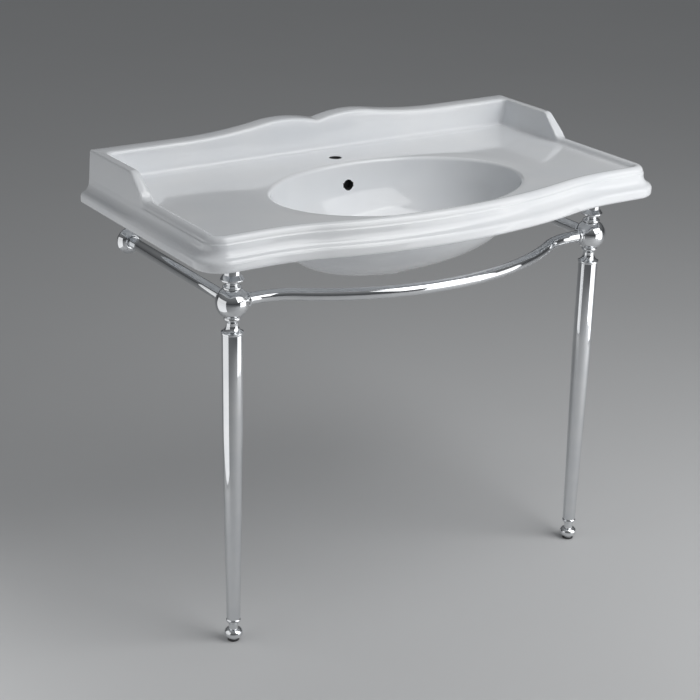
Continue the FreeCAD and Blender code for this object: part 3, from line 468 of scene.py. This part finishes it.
def cylinder(name, radius, low, high, place, axis="Z", steps=ROUND_STEPS, flare=0.0):
    """A closed cylinder between two heights on an axis, with a flared upper end if asked."""
    profile = [(radius, low), (radius, high)]
    if flare:
        profile = [(radius, low)] + [(radius + flare - x, high - flare + y) for x, y in
                                     arc((0, 0), flare, 0, 90, 6)] + [(radius + flare, high + 2)]
        profile.insert(1, (radius, high - flare))
    points, faces = [], []
    for r, z in profile:
        for step in range(steps):
            turn = 2 * math.pi * step / steps
            points.append((r * math.cos(turn), r * math.sin(turn), z))
    for row in range(len(profile) - 1):
        for step in range(steps):
            after = (step + 1) % steps
            low_row, high_row = row * steps, (row + 1) * steps
            faces.append((low_row + step, low_row + after, high_row + after, high_row + step))
    faces.append(tuple(range(steps))[::-1])
    faces.append(tuple(range((len(profile) - 1) * steps, len(profile) * steps)))
    turn = {"Z": Matrix.Identity(3), "-Y": Matrix.Rotation(math.pi / 2, 3, "X"),
            "Y": Matrix.Rotation(-math.pi / 2, 3, "X"), "X": Matrix.Rotation(math.pi / 2, 3, "Y"),
            "-X": Matrix.Rotation(-math.pi / 2, 3, "Y")}[axis]
    points = [(turn @ Vector(point) + Vector(place)) * MM for point in points]
    return new_object(name, solid_mesh(name, points, faces))


def box(name, low, high):
    """A closed box between two corners."""
    corners = [(x, y, z) for x in (low[0], high[0]) for y in (low[1], high[1]) for z in (low[2], high[2])]
    faces = [(0, 1, 3, 2), (4, 6, 7, 5), (0, 4, 5, 1), (2, 3, 7, 6), (0, 2, 6, 4), (1, 5, 7, 3)]
    return new_object(name, solid_mesh(name, [Vector(corner) * MM for corner in corners], faces))


def combine(thing, tools, operation):
    """Joins the tools to the object, or cuts them out of it, and removes them."""
    for tool in tools:
        change = thing.modifiers.new(tool.name, "BOOLEAN")
        change.operation = operation
        change.solver = "EXACT"
        change.object = tool
    mesh = applied(thing)
    thing.modifiers.clear()
    thing.data = mesh
    for tool in tools:
        bpy.data.objects.remove(tool)


def finish_piece(thing, material, body, slot, *nodes):
    """Gives a piece its material, hangs it on what it rides on and hides the nodes it stands for; its slot is
    not used.
    """
    thing.data.materials.clear()
    thing.data.materials.append(material)
    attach(thing, body)
    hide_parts(*nodes)


# ---------------------------------------------------------------- materials

def new_material(name):
    """A material with its shader, its noise coordinates and its node lists."""
    material = bpy.data.materials.new(name)
    material.use_nodes = True
    nodes, links = material.node_tree.nodes, material.node_tree.links
    shader = nodes["Principled BSDF"]
    place = nodes.new("ShaderNodeTexCoord").outputs["Object"]
    return material, shader, place, nodes, links


def noise(nodes, links, place, scale, detail=2.0, stretch=(1, 1, 1)):
    """Noise on the object's own coordinates."""
    if stretch != (1, 1, 1):
        mapping = nodes.new("ShaderNodeMapping")
        mapping.inputs["Scale"].default_value = stretch
        links.new(place, mapping.inputs["Vector"])
        place = mapping.outputs["Vector"]
    texture = nodes.new("ShaderNodeTexNoise")
    texture.inputs["Scale"].default_value = scale
    texture.inputs["Detail"].default_value = detail
    links.new(place, texture.inputs["Vector"])
    return texture.outputs["Fac"]


def spread(nodes, links, value, low, high, first=0.3, last=0.7):
    """Takes a value from first to last over to low to high."""
    ranged = nodes.new("ShaderNodeMapRange")
    for name, number in (("From Min", first), ("From Max", last), ("To Min", low), ("To Max", high)):
        ranged.inputs[name].default_value = number
    links.new(value, ranged.inputs["Value"])
    return ranged.outputs["Result"]


def shades(nodes, links, value, first, second):
    """A colour between two, by a value."""
    mix = nodes.new("ShaderNodeMix")
    mix.data_type = "RGBA"
    mix.inputs["A"].default_value = (*first, 1)
    mix.inputs["B"].default_value = (*second, 1)
    links.new(value, mix.inputs["Factor"])
    return mix.outputs["Result"]


def base_colour(nodes, links, shader, cloud, first, second):
    """Base colour between two tones, by a noise."""
    share = spread(nodes, links, cloud, 0, 1)
    links.new(shades(nodes, links, share, first, second), shader.inputs["Base Color"])


def bump(nodes, links, shader, height, depth, normal=None):
    """Bump of a given depth in metres on the shader, over an earlier bump if there is one."""
    node = nodes.new("ShaderNodeBump")
    node.inputs["Strength"].default_value = 1.0
    node.inputs["Distance"].default_value = depth
    links.new(height, node.inputs["Height"])
    if normal:
        links.new(normal, node.inputs["Normal"])
    links.new(node.outputs["Normal"], shader.inputs["Normal"])
    return node.outputs["Normal"]


def glaze_material(looks):
    """Thick, glossy white glaze: faint clouds in its tone and gloss, and a slight ripple."""
    material, shader, place, nodes, links = new_material("white_glaze")
    tone = tuple(looks.glaze_colour)
    cloud = noise(nodes, links, place, 7, 3)
    pale = tuple(min(1, channel * 1.02) for channel in tone)
    deep = tuple(channel * share for channel, share in zip(tone, (0.965, 0.975, 0.99)))
    base_colour(nodes, links, shader, cloud, deep, pale)
    gloss = noise(nodes, links, place, 40, 3)
    links.new(spread(nodes, links, gloss, looks.glaze_roughness * 0.75, looks.glaze_roughness * 1.3),
              shader.inputs["Roughness"])
    shader.inputs["IOR"].default_value = 1.52
    shader.inputs["Coat Weight"].default_value = 0.2
    shader.inputs["Coat Roughness"].default_value = 0.02
    ripple = bump(nodes, links, shader, noise(nodes, links, place, 14, 1), looks.glaze_ripple * 4)
    bump(nodes, links, shader, noise(nodes, links, place, 150, 2), looks.glaze_ripple, ripple)
    return material


def chrome_material(looks):
    """Polished chrome plate: bright, faintly clouded, with fine polishing marks."""
    material, shader, place, nodes, links = new_material("polished_chrome")
    tone = tuple(looks.chrome_colour)
    cloud = noise(nodes, links, place, 30, 4)
    dull = tuple(channel * share for channel, share in zip(tone, (0.93, 0.94, 0.955)))
    base_colour(nodes, links, shader, cloud, dull, tone)
    shader.inputs["Metallic"].default_value = 1.0
    smudge = noise(nodes, links, place, 55, 5)
    links.new(spread(nodes, links, smudge, looks.chrome_roughness * 0.6, looks.chrome_roughness * 1.7),
              shader.inputs["Roughness"])
    marks = noise(nodes, links, place, 900, 1, (1, 1, 0.06))
    bump(nodes, links, shader, marks, 0.000002)
    return material


def steel_material(looks):
    """Plain turned steel with a brushed grain and a few darker stains."""
    material, shader, place, nodes, links = new_material("turned_steel")
    tone = tuple(looks.steel_colour)
    stain = noise(nodes, links, place, 60, 4)
    dark = tuple(channel * 0.72 for channel in tone)
    base_colour(nodes, links, shader, stain, tone, dark)
    shader.inputs["Metallic"].default_value = 1.0
    grain = noise(nodes, links, place, 700, 3, (1, 1, 8))
    links.new(spread(nodes, links, grain, 0.28, 0.46), shader.inputs["Roughness"])
    bump(nodes, links, shader, grain, 0.00001)
    return material


def soft_material(name, tone, rough, grit):
    """Matt rubber or plastic with a fine moulded grain."""
    material, shader, place, nodes, links = new_material(name)
    dusty = tuple(channel * 1.5 + 0.01 for channel in tone)
    dust = noise(nodes, links, place, 90, 4)
    base_colour(nodes, links, shader, dust, tone, dusty)
    grain = noise(nodes, links, place, 1400, 2)
    links.new(spread(nodes, links, grain, rough - 0.08, rough + 0.08), shader.inputs["Roughness"])
    bump(nodes, links, shader, grain, grit)
    return material


# ---------------------------------------------------------------- turned pieces and tubes

def arc_between(start, end, radius, side, steps=10):
    """Points of the short arc between two points, with its centre to the left (1) or right (-1)."""
    start, end = Vector(start), Vector(end)
    chord = end - start
    left = Vector((-chord.y, chord.x)) / chord.length * side
    centre = (start + end) / 2 + left * math.sqrt(max(radius ** 2 - chord.length ** 2 / 4, 0))
    first = math.atan2(start.y - centre.y, start.x - centre.x)
    last = math.atan2(end.y - centre.y, end.x - centre.x)
    sweep = (last - first + math.pi) % (2 * math.pi) - math.pi
    return [(centre.x + radius * math.cos(first + sweep * i / steps),
             centre.y + radius * math.sin(first + sweep * i / steps)) for i in range(1, steps + 1)]


def outline(corners, steps=10):
    """Points of an outline. A corner is (radius, height) or, for an arc, has its radius and side."""
    points = []
    for index, corner in enumerate(corners):
        if len(corner) == 4:
            points += arc_between(corners[index - 1][:2], corner[:2], corner[2], corner[3], steps)
        else:
            points.append(corner)
    return points


def bulge(chord, swell):
    """Radius of an arc over a chord that swells out by that much."""
    return (chord ** 2 / 4 + swell ** 2) / (2 * swell)


BORE = 5.1
LAND = math.sqrt(HUB_RADIUS ** 2 - HUB_LAND ** 2)
BALL = [(BORE, -HUB_LAND), (LAND, -HUB_LAND), (LAND, HUB_LAND, HUB_RADIUS, 1), (BORE, HUB_LAND)]
COLUMN = [(BORE, HUB_LAND), (14.5, HUB_LAND), (14.5, 31, bulge(6, 2.5), 1), (11.5, 34), (11.5, 36),
          (15, 38.5), (21, 41.5), (21, 44), (15.5, 52), (15.5, 82), (BORE, 82)]
FLANGE = [(BORE, 82), (28, 82), (28, 88), (BORE, 88)]
PAD = [(BORE, 88), (26, 88), (26, 92), (BORE, 92)]
COLLAR = [(BORE, -76), (17.4, -76), (17.4, -58), (20.2, -58), (20.2, -54), (11.3, -42, 15, -1), (11.3, -36.5),
          (13, -33), (13, -HUB_LAND, bulge(8, 2.3), 1), (BORE, -HUB_LAND)]
TUBE = [(11.5, 46), (13, 46), (19, 430), (19, 612), (17.5, 612), (17.5, 430)]
FERRULE = [(4.05, 38), (11.8, 38), (11.8, 46, bulge(8, 2.3), 1), (11.4, 46), (11.4, 64), (4.05, 64)]
FOOT = [(0, 3), (9.5, 3), (9.5, 6), (10.8, 6), (10.8, 24, bulge(18, 6.7), 1), (8.6, 24), (8.6, 37.7),
        (4, 37.7), (4, 60), (0, 60)]
GLIDE = [(0, 0), (11, 0), (11, 3), (0, 3)]
RAIL = [(9.5, 18.3), (11, 18.3), (11, 397.2), (9.5, 397.2)]
RING = [(11.1, RING_START), (12.2, RING_START), (12.2, RING_START + 6, bulge(6, 1.6), 1),
        (11.1, RING_START + 6)]
ROSETTE = [(23, 0), (26, 0), (26, 4), (13.5, 14, 22, 1), (11.1, 14), (11.1, 5.5), (23, 5.5)]


def new_tree(name, sockets):
    """An empty Geometry Nodes tree with named inputs."""
    tree = bpy.data.node_groups.new(name, "GeometryNodeTree")
    tree.interface.new_socket("Geometry", in_out="INPUT", socket_type="NodeSocketGeometry")
    for label, kind, value in sockets:
        socket = tree.interface.new_socket(label, in_out="INPUT", socket_type=kind)
        if value is not None:
            socket.default_value = value
    tree.interface.new_socket("Geometry", in_out="OUTPUT", socket_type="NodeSocketGeometry")
    return tree, tree.nodes.new("NodeGroupInput"), tree.nodes.new("NodeGroupOutput")


def close_tree(tree, given, result, geometry):
    """Ends a tree: instances made real, and the material set."""
    real = tree.nodes.new("GeometryNodeRealizeInstances")
    paint = tree.nodes.new("GeometryNodeSetMaterial")
    tree.links.new(geometry, real.inputs["Geometry"])
    tree.links.new(real.outputs["Geometry"], paint.inputs["Geometry"])
    tree.links.new(given.outputs["Material"], paint.inputs["Material"])
    tree.links.new(paint.outputs["Geometry"], result.inputs["Geometry"])


def turning_tree():
    """Turns a profile curve about the Z axis, with its corners softened."""
    tree, given, result = new_tree("turning", [("Steps", "NodeSocketInt", 96),
                                               ("Softness", "NodeSocketFloat", 0.0006),
                                               ("Material", "NodeSocketMaterial", None)])
    soften = tree.nodes.new("GeometryNodeFilletCurve")
    soften.mode = "POLY"
    soften.inputs["Count"].default_value = 3
    soften.inputs["Limit Radius"].default_value = True
    axis = tree.nodes.new("GeometryNodeCurvePrimitiveCircle")
    axis.inputs["Radius"].default_value = 1e-5
    turn = tree.nodes.new("GeometryNodeCurveToMesh")
    tree.links.new(given.outputs["Geometry"], soften.inputs["Curve"])
    tree.links.new(given.outputs["Softness"], soften.inputs["Radius"])
    tree.links.new(given.outputs["Steps"], axis.inputs["Resolution"])
    tree.links.new(axis.outputs["Curve"], turn.inputs["Curve"])
    tree.links.new(soften.outputs["Curve"], turn.inputs["Profile Curve"])
    close_tree(tree, given, result, turn.outputs["Mesh"])
    return tree


def tube_tree():
    """Runs a round tube along a path curve."""
    tree, given, result = new_tree("tube_on_path", [("Radius", "NodeSocketFloat", RAIL_RADIUS * MM),
                                                    ("Steps", "NodeSocketInt", 64),
                                                    ("Material", "NodeSocketMaterial", None)])
    ring = tree.nodes.new("GeometryNodeCurvePrimitiveCircle")
    sweep = tree.nodes.new("GeometryNodeCurveToMesh")
    sweep.inputs["Fill Caps"].default_value = True
    tree.links.new(given.outputs["Radius"], ring.inputs["Radius"])
    tree.links.new(given.outputs["Steps"], ring.inputs["Resolution"])
    tree.links.new(given.outputs["Geometry"], sweep.inputs["Curve"])
    tree.links.new(ring.outputs["Curve"], sweep.inputs["Profile Curve"])
    close_tree(tree, given, result, sweep.outputs["Mesh"])
    return tree


def curve_object(name, points, closed):
    """A curve of straight runs through the points, in millimetres."""
    curve = bpy.data.curves.new(name, "CURVE")
    curve.dimensions = "3D"
    run = curve.splines.new("POLY")
    run.points.add(len(points) - 1)
    for spot, point in zip(run.points, points):
        spot.co = (*(value * MM for value in point), 1)
    run.use_cyclic_u = closed
    return new_object(name, curve)


def grown(name, source, tree, values, merge=3e-5):
    """The mesh object that a tree makes from a source curve, which is then removed."""
    change = source.modifiers.new(tree.name, "NODES")
    change.node_group = tree
    for item in tree.interface.items_tree:
        if item.in_out == "INPUT" and item.name in values:
            change[item.identifier] = values[item.name]
    mesh = applied(source)
    source.modifiers.clear()
    bpy.data.objects.remove(source)
    tidy_mesh(mesh, merge)
    return new_object(name, mesh)


def turned(name, profile, material, steps=96, softness=0.6, arc_steps=10):
    """A piece turned about its own Z axis."""
    points = [(radius, -height, 0) for radius, height in outline(profile, arc_steps)]
    source = curve_object(f"{name}_profile", points, True)
    values = {"Steps": steps, "Softness": softness * MM, "Material": material}
    return grown(name, source, bpy.data.node_groups["turning"], values)


def put(thing, place, turn=None):
    """Moves a piece's mesh to its place, after a turn from its own Z axis."""
    matrix = Matrix.Translation(Vector(place) * MM)
    if turn:
        matrix = matrix @ Vector((0, 0, 1)).rotation_difference(Vector(turn)).to_matrix().to_4x4()
    thing.data.transform(matrix)
    return thing


def rail_path():
    """The path of the front rail from hub to hub: straight, hollow bend, bow, hollow bend, straight."""
    bow = (RAIL_STRAIGHT ** 2 + RAIL_REACH ** 2) / (2 * RAIL_REACH) - RAIL_OGEE
    share = bow / (bow + RAIL_OGEE)
    side, reach = RAIL_STRAIGHT * share, RAIL_REACH * (1 - share)
    end = LEG_SIDE - SOCKET_FLOOR - CLEARANCE
    runs = outline([(-end, 0), (-RAIL_STRAIGHT, 0), (-side, -reach, RAIL_OGEE, -1),
                    (side, -reach, bow, 1), (RAIL_STRAIGHT, 0, RAIL_OGEE, -1), (end, 0)], RAIL_ARC_STEPS)
    return [(x, y + LEG_Y, HUB) for x, y in runs]


# ---------------------------------------------------------------- settings

class BasinLooks(PropertyGroup):
    """Colours and finish of the basin."""
    glaze_colour: FloatVectorProperty(
        name="Glaze colour", description="Colour of the glaze", subtype="COLOR", size=3, min=0, max=1,
        default=(0.86, 0.875, 0.89))
    glaze_roughness: FloatProperty(
        name="Glaze roughness", description="Roughness of the glaze", default=0.10, min=0, max=1,
        subtype="FACTOR")
    glaze_ripple: FloatProperty(
        name="Glaze ripple", description="Depth of the fine ripple in the glaze", default=0.000012, min=0,
        unit="LENGTH", precision=6)


class StandLooks(PropertyGroup):
    """Colours and finish of the metal stand."""
    chrome_colour: FloatVectorProperty(
        name="Chrome colour", description="Colour of the chrome plate", subtype="COLOR", size=3, min=0,
        max=1, default=(0.80, 0.81, 0.82))
    chrome_roughness: FloatProperty(
        name="Chrome roughness", description="Roughness of the chrome plate", default=0.045, min=0, max=1,
        subtype="FACTOR")
    steel_colour: FloatVectorProperty(
        name="Steel colour", description="Colour of the plain steel pieces", subtype="COLOR", size=3,
        min=0, max=1, default=(0.56, 0.56, 0.57))
    turning_steps: IntProperty(
        name="Turning steps", description="Steps round a turned piece", default=96, min=12, max=256)


class StudioLooks(PropertyGroup):
    """Floor, lights and camera."""
    floor_colour: FloatVectorProperty(
        name="Floor colour", description="Colour of the studio floor", subtype="COLOR", size=3, min=0,
        max=1, default=(0.60, 0.605, 0.61))
    key_power: FloatProperty(name="Key light", description="Power of the key light", default=20, unit="POWER")
    broad_power: FloatProperty(
        name="Broad light", description="Power of the broad light in front", default=43, unit="POWER")
    front_power: FloatProperty(
        name="Front screen", description="Power of the low screen in front", default=4.5, unit="POWER")
    screen_power: FloatProperty(
        name="Right screen", description="Power of the screen on the right", default=3, unit="POWER")
    card_power: FloatProperty(
        name="Left screen", description="Power of the screen on the left", default=1.8, unit="POWER")
    room_low: FloatVectorProperty(
        name="Room, low", description="Light of the room near the floor", subtype="COLOR", size=3, min=0,
        max=1, default=(0.05, 0.052, 0.055))
    room_high: FloatVectorProperty(
        name="Room, high", description="Light of the room from above", subtype="COLOR", size=3, min=0,
        max=1, default=(0.22, 0.225, 0.23))
    camera_place: FloatVectorProperty(
        name="Camera place", description="Where the camera stands", subtype="XYZ", size=3, unit="LENGTH",
        default=(-1.783, -2.6016, 1.6925))
    camera_turn: FloatVectorProperty(
        name="Camera turn", description="Heading, tilt down and roll of the camera", subtype="XYZ", size=3,
        unit="ROTATION", default=(math.radians(33.341), math.radians(21.398), math.radians(1.293)))
    lens: FloatProperty(name="Lens", description="Focal length in millimetres", default=89.17, min=10)


# ---------------------------------------------------------------- operators

class BASIN_OT_materials(Operator):
    """Make the materials and dress the nodes of the frame that stay in sight"""
    bl_idname = "basin.materials"
    bl_label = "Materials"

    def execute(self, context):
        basin, stand = context.scene.basin_looks, context.scene.stand_looks
        glaze_material(basin)
        # painted shade: a near-black material for the inside of the tap and overflow holes, standing in for
        # their shade
        soft_material("painted_hole_shade", (0.018, 0.018, 0.018), 0.85, 0.00003)
        chrome = chrome_material(stand)
        steel = steel_material(stand)
        rubber = soft_material("black_rubber", (0.02, 0.02, 0.021), 0.62, 0.00002)
        plastic = soft_material("dark_plastic", (0.035, 0.035, 0.038), 0.45, 0.000012)
        kinds = {"leg_stud": steel, "wall_bracket": steel, "grub_screws": steel, "support_pad": rubber,
                 "foot_glide": plastic}
        for name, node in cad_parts.items():
            found = [material for part, material in kinds.items() if name.endswith(part)]
            node.data.materials.clear()
            node.data.materials.append(found[0] if found else chrome)
        return {"FINISHED"}


class BASIN_OT_basin(Operator):
    """Build the glazed basin: moulded rim, wings, backsplash, deck and bowl in one piece"""
    bl_idname = "basin.basin"
    bl_label = "Basin"

    def execute(self, context):
        basin = new_object("glazed_basin", basin_shell())
        back = DEPTH / 2
        lands = [cylinder(f"land_{side}", LAND_RADIUS, BASE + LAND_HEIGHT, BASE + CEILING + 1,
                          (sign * LEG_SIDE, LEG_Y, 0), steps=LAND_STEPS) for side, sign in SIDES]
        bowl_back = BOWL_MIDDLE - BOWL_HALF_WIDTH
        near, far = (back - bowl_back + reach for reach in CHAMBER_REACH)
        foot, top = (BASE + height for height in CHAMBER_HEIGHTS)
        chamber = box("chamber", (-CHAMBER_HALF_WIDTH, near, foot), (CHAMBER_HALF_WIDTH, far, top))
        combine(basin, lands + [chamber], "UNION")
        tap = cylinder("tap_cut", TAP_RADIUS, BASE + CEILING - 8, BASE + DECK, (0, back - TAP_MIDDLE, 0),
                       flare=TAP_FLARE)
        start, end = (bowl_back + reach for reach in OVERFLOW_SPAN)
        overflow = cylinder("overflow_cut", OVERFLOW_RADIUS, start, end,
                            (0, back, BASE + OVERFLOW_HEIGHT), axis="-Y", flare=OVERFLOW_FLARE)
        side, height, radius = WALL_BOLT
        bolts = [cylinder(f"bolt_cut_{name}", radius, -OVERCUT, REAR_WALL + OVERCUT,
                          (sign * side, back, BASE + height), axis="-Y", steps=BOLT_STEPS)
                 for name, sign in SIDES]
        combine(basin, [tap, overflow] + bolts, "DIFFERENCE")
        tidy_mesh(basin.data)
        shade(basin.data, BASIN_SHARP)
        finish_piece(basin, bpy.data.materials["white_glaze"], STAND, "glaze", "basin")
        self.paint_hole_shade(basin.data, back)
        return {"FINISHED"}

    def paint_hole_shade(self, mesh, back):
        """Painted shade: a near-black material on the walls of the tap hole and in the overflow hole,
        standing in for their shade.
        """
        mesh.materials.append(bpy.data.materials["painted_hole_shade"])
        for face in mesh.polygons:
            x, y, z = face.center / MM
            in_tap = math.hypot(x, y - back + TAP_MIDDLE) < TAP_RADIUS + HOLE_MARGIN and z > BASE
            in_overflow = (math.hypot(x, z - BASE - OVERFLOW_HEIGHT) < OVERFLOW_RADIUS + HOLE_MARGIN
                           and OVERFLOW_ZONE[0] < y - back < OVERFLOW_ZONE[1])
            if in_tap or in_overflow:
                face.material_index = 1


class BASIN_OT_legs(Operator):
    """Turn the pieces of the two legs, from the flange under the basin down to the glide"""
    bl_idname = "basin.legs"
    bl_label = "Legs"

    def execute(self, context):
        turning_tree()
        steps = context.scene.stand_looks.turning_steps
        chrome = bpy.data.materials["polished_chrome"]
        kinds = [("column", COLUMN, "upper_column", HUB, STAND, "chrome", 0.6),
                 ("flange", FLANGE, "basin_support", HUB, STAND, "chrome", 0.8),
                 ("pad", PAD, "support_pad", HUB, STAND, "soft_pad", 0.8),
                 ("collar", COLLAR, "leg_collar", HUB, STAND, "chrome", 0.6),
                 ("tapered_tube", TUBE, "leg_tube", 0, STAND, "chrome", 0.3),
                 ("foot_bead", FERRULE, "leg_ferrule", 0, STAND, "chrome", 0.4),
                 ("turned_foot", FOOT, "levelling_foot", 0, "{side}_foot", "chrome", 0.5),
                 ("glide_disc", GLIDE, "foot_glide", 0, "{side}_foot", "glide", 0.7)]
        paint = {"chrome": chrome, "soft_pad": bpy.data.materials["black_rubber"],
                 "glide": bpy.data.materials["dark_plastic"]}
        for side, sign in SIDES:
            for piece, profile, node, height, body, slot, softness in kinds:
                thing = turned(f"{side}_{piece}", profile, paint[slot], steps, softness)
                put(thing, (sign * LEG_SIDE, LEG_Y, height))
                shade(thing.data, METAL_SHARP)
                finish_piece(thing, paint[slot], body.format(side=side), slot, f"{side}_{node}")
            self.make_ball(side, sign, chrome, steps)
        return {"FINISHED"}

    def make_ball(self, side, sign, chrome, steps):
        """The hub ball, with its two rail sockets and its two grub screw holes."""
        ball = turned(f"{side}_hub_ball", BALL, chrome, steps, 0.5, arc_steps=BALL_ARC_STEPS)
        place = (sign * LEG_SIDE, LEG_Y, HUB)
        put(ball, place)
        inwards = "-X" if sign > 0 else "X"
        tools = [cylinder(f"{name}_socket", SOCKET_RADIUS, SOCKET_FLOOR, SOCKET_END, place, axis=axis)
                 for name, axis in (("front", inwards), ("side", "Y"))]
        for name, x, y in (("front", -sign * GRUB_PLACE, 0), ("side", 0, GRUB_PLACE)):
            tools.append(cylinder(f"{name}_grub_hole", GRUB_RADIUS, *GRUB_SPAN,
                                  (place[0] + x, place[1] + y, HUB), steps=BORE_STEPS))
        combine(ball, tools, "DIFFERENCE")
        tidy_mesh(ball.data)
        shade(ball.data, METAL_SHARP)
        finish_piece(ball, chrome, STAND, "chrome", f"{side}_corner_ball")


class BASIN_OT_rails(Operator):
    """Run the front rail along its bow, and make the side rails, their rings and rosettes"""
    bl_idname = "basin.rails"
    bl_label = "Rails"

    def execute(self, context):
        steps = context.scene.stand_looks.turning_steps
        chrome = bpy.data.materials["polished_chrome"]
        tree = tube_tree()
        front = grown("bowed_rail", curve_object("bowed_rail_path", rail_path(), False), tree,
                      {"Radius": RAIL_RADIUS * MM, "Steps": ROUND_STEPS, "Material": chrome}, merge=1e-6)
        shade(front.data, METAL_SHARP)
        finish_piece(front, chrome, STAND, "chrome", "front_rail")
        for side, sign in SIDES:
            hub = (sign * LEG_SIDE, LEG_Y, HUB)
            wall = (sign * LEG_SIDE, DEPTH / 2, HUB)
            for piece, profile, node, place, turn in (
                    ("rail_tube", RAIL, "side_rail", hub, (0, 1, 0)),
                    ("side_ring", RING, "side_rail_ring", hub, (0, 1, 0)),
                    ("front_ring", RING, "front_rail_ring", hub, (-sign, 0, 0)),
                    ("rosette", ROSETTE, "wall_rosette", wall, (0, -1, 0))):
                thing = turned(f"{side}_{piece}", profile, chrome, steps, 0.4, arc_steps=COLLAR_ARC_STEPS)
                put(thing, place, turn)
                shade(thing.data, METAL_SHARP)
                finish_piece(thing, chrome, STAND, "chrome", f"{side}_{node}")
        return {"FINISHED"}


class BASIN_OT_studio(Operator):
    """Set up the floor, the lights and the camera"""
    bl_idname = "basin.studio"
    bl_label = "Studio"

    def execute(self, context):
        looks = context.scene.studio_looks
        self.make_floor(looks)
        self.make_lights(context, looks)
        self.make_camera(context, looks)
        return {"FINISHED"}

    def make_floor(self, looks):
        """A plain pale floor."""
        mesh = bpy.data.meshes.new("studio_floor")
        far = FLOOR_REACH
        corners = [(-far, -far, 0), (far, -far, 0), (far, far, 0), (-far, far, 0)]
        mesh.from_pydata(corners, [], [(0, 1, 2, 3)])
        floor = new_object("studio_floor", mesh)
        material, shader, place, nodes, links = new_material("studio_floor")
        tone = tuple(looks.floor_colour)
        base_colour(nodes, links, shader, noise(nodes, links, place, 1.5, 3),
                    tone, tuple(channel * 0.985 for channel in tone))
        shader.inputs["Roughness"].default_value = 0.7
        mesh.materials.append(material)

    def make_lights(self, context, looks):
        """Soft rectangular lamps, hidden from the camera, and a room that is lighter above."""
        # name, power, size, place and aim, in metres
        lamps = (("key", looks.key_power, (1.4, 1.4), (0.75, -1.06, 3.05), (0.0, 0.0, 0.8)),
                 ("broad", looks.broad_power, (3.0, 2.2), (1.35, -2.45, 2.35), (0.0, 0.0, 0.8)),
                 ("front_screen", looks.front_power, (1.05, 0.9), (0.93, -1.655, 0.46), (0.0, -0.2, 0.6)),
                 ("right_screen", looks.screen_power, (0.7, 1.0), (1.3, -0.95, 0.52), (0.4, -0.1, 0.6)),
                 ("left_screen", looks.card_power, (0.9, 0.86), (-0.95, 0.10, 0.44), (-0.2, 0.05, 0.44)))
        for name, power, (width, height), place, aim in lamps:
            lamp = bpy.data.lights.new(f"{name}_light", "AREA")
            lamp.energy = power
            lamp.shape = "RECTANGLE"
            lamp.size, lamp.size_y = width, height
            thing = new_object(f"{name}_light", lamp)
            thing.location = place
            thing.rotation_euler = (Vector(aim) - Vector(place)).to_track_quat("-Z", "Y").to_euler()
            thing.visible_camera = False
        world = bpy.data.worlds.new("studio")
        world.use_nodes = True
        nodes, links = world.node_tree.nodes, world.node_tree.links
        split = nodes.new("ShaderNodeSeparateXYZ")
        links.new(nodes.new("ShaderNodeTexCoord").outputs["Generated"], split.inputs["Vector"])
        height = spread(nodes, links, split.outputs["Z"], 0, 1, 0, 0.8)
        background = nodes["Background"]
        links.new(shades(nodes, links, height, looks.room_low, looks.room_high), background.inputs["Color"])
        context.scene.world = world

    def make_camera(self, context, looks):
        """The camera at the settings' place and turn."""
        heading, tilt, roll = looks.camera_turn
        ahead = Vector((math.sin(heading) * math.cos(tilt),
                        math.cos(heading) * math.cos(tilt), -math.sin(tilt)))
        right = Vector((math.cos(heading), -math.sin(heading), 0))
        up = right.cross(ahead)
        turned_right = right * math.cos(roll) + up * math.sin(roll)
        turned_up = up * math.cos(roll) - right * math.sin(roll)
        data = bpy.data.cameras.new("camera")
        data.lens = looks.lens
        data.sensor_width = SENSOR_WIDTH
        camera = new_object("camera", data)
        axes = Matrix((turned_right, turned_up, -ahead)).transposed()
        camera.matrix_world = Matrix.Translation(looks.camera_place) @ axes.to_4x4()
        context.scene.camera = camera


class BASIN_PT_panel(Panel):
    """The pieces of the basin and their settings"""
    bl_idname = "BASIN_PT_panel"
    bl_label = "Console basin"
    bl_space_type = "VIEW_3D"
    bl_region_type = "UI"
    bl_category = "Basin"

    def draw(self, context):
        for kind in OPERATORS:
            self.layout.operator(kind.bl_idname)
        for name in SETTINGS:
            group = getattr(context.scene, name)
            box_layout = self.layout.box()
            for key in group.bl_rna.properties.keys():
                if key not in ("rna_type", "name"):
                    box_layout.prop(group, key)


OPERATORS = (BASIN_OT_materials, BASIN_OT_basin, BASIN_OT_legs, BASIN_OT_rails, BASIN_OT_studio)
SETTINGS = {"basin_looks": BasinLooks, "stand_looks": StandLooks, "studio_looks": StudioLooks}


def register():
    """Registers the settings, the operators and the panel."""
    for kind in (*SETTINGS.values(), *OPERATORS, BASIN_PT_panel):
        bpy.utils.register_class(kind)
    for name, kind in SETTINGS.items():
        setattr(bpy.types.Scene, name, PointerProperty(type=kind))


def unregister():
    """Takes back what register does."""
    for name in SETTINGS:
        delattr(bpy.types.Scene, name)
    for kind in (BASIN_PT_panel, *reversed(OPERATORS), *SETTINGS.values()):
        bpy.utils.unregister_class(kind)


def main():
    """Builds everything in order."""
    register()
    bpy.context.scene.view_settings.view_transform = "Standard"
    bpy.ops.basin.materials()
    bpy.ops.basin.basin()
    bpy.ops.basin.legs()
    bpy.ops.basin.rails()
    bpy.ops.basin.studio()


if __name__ == "__main__":
    main()
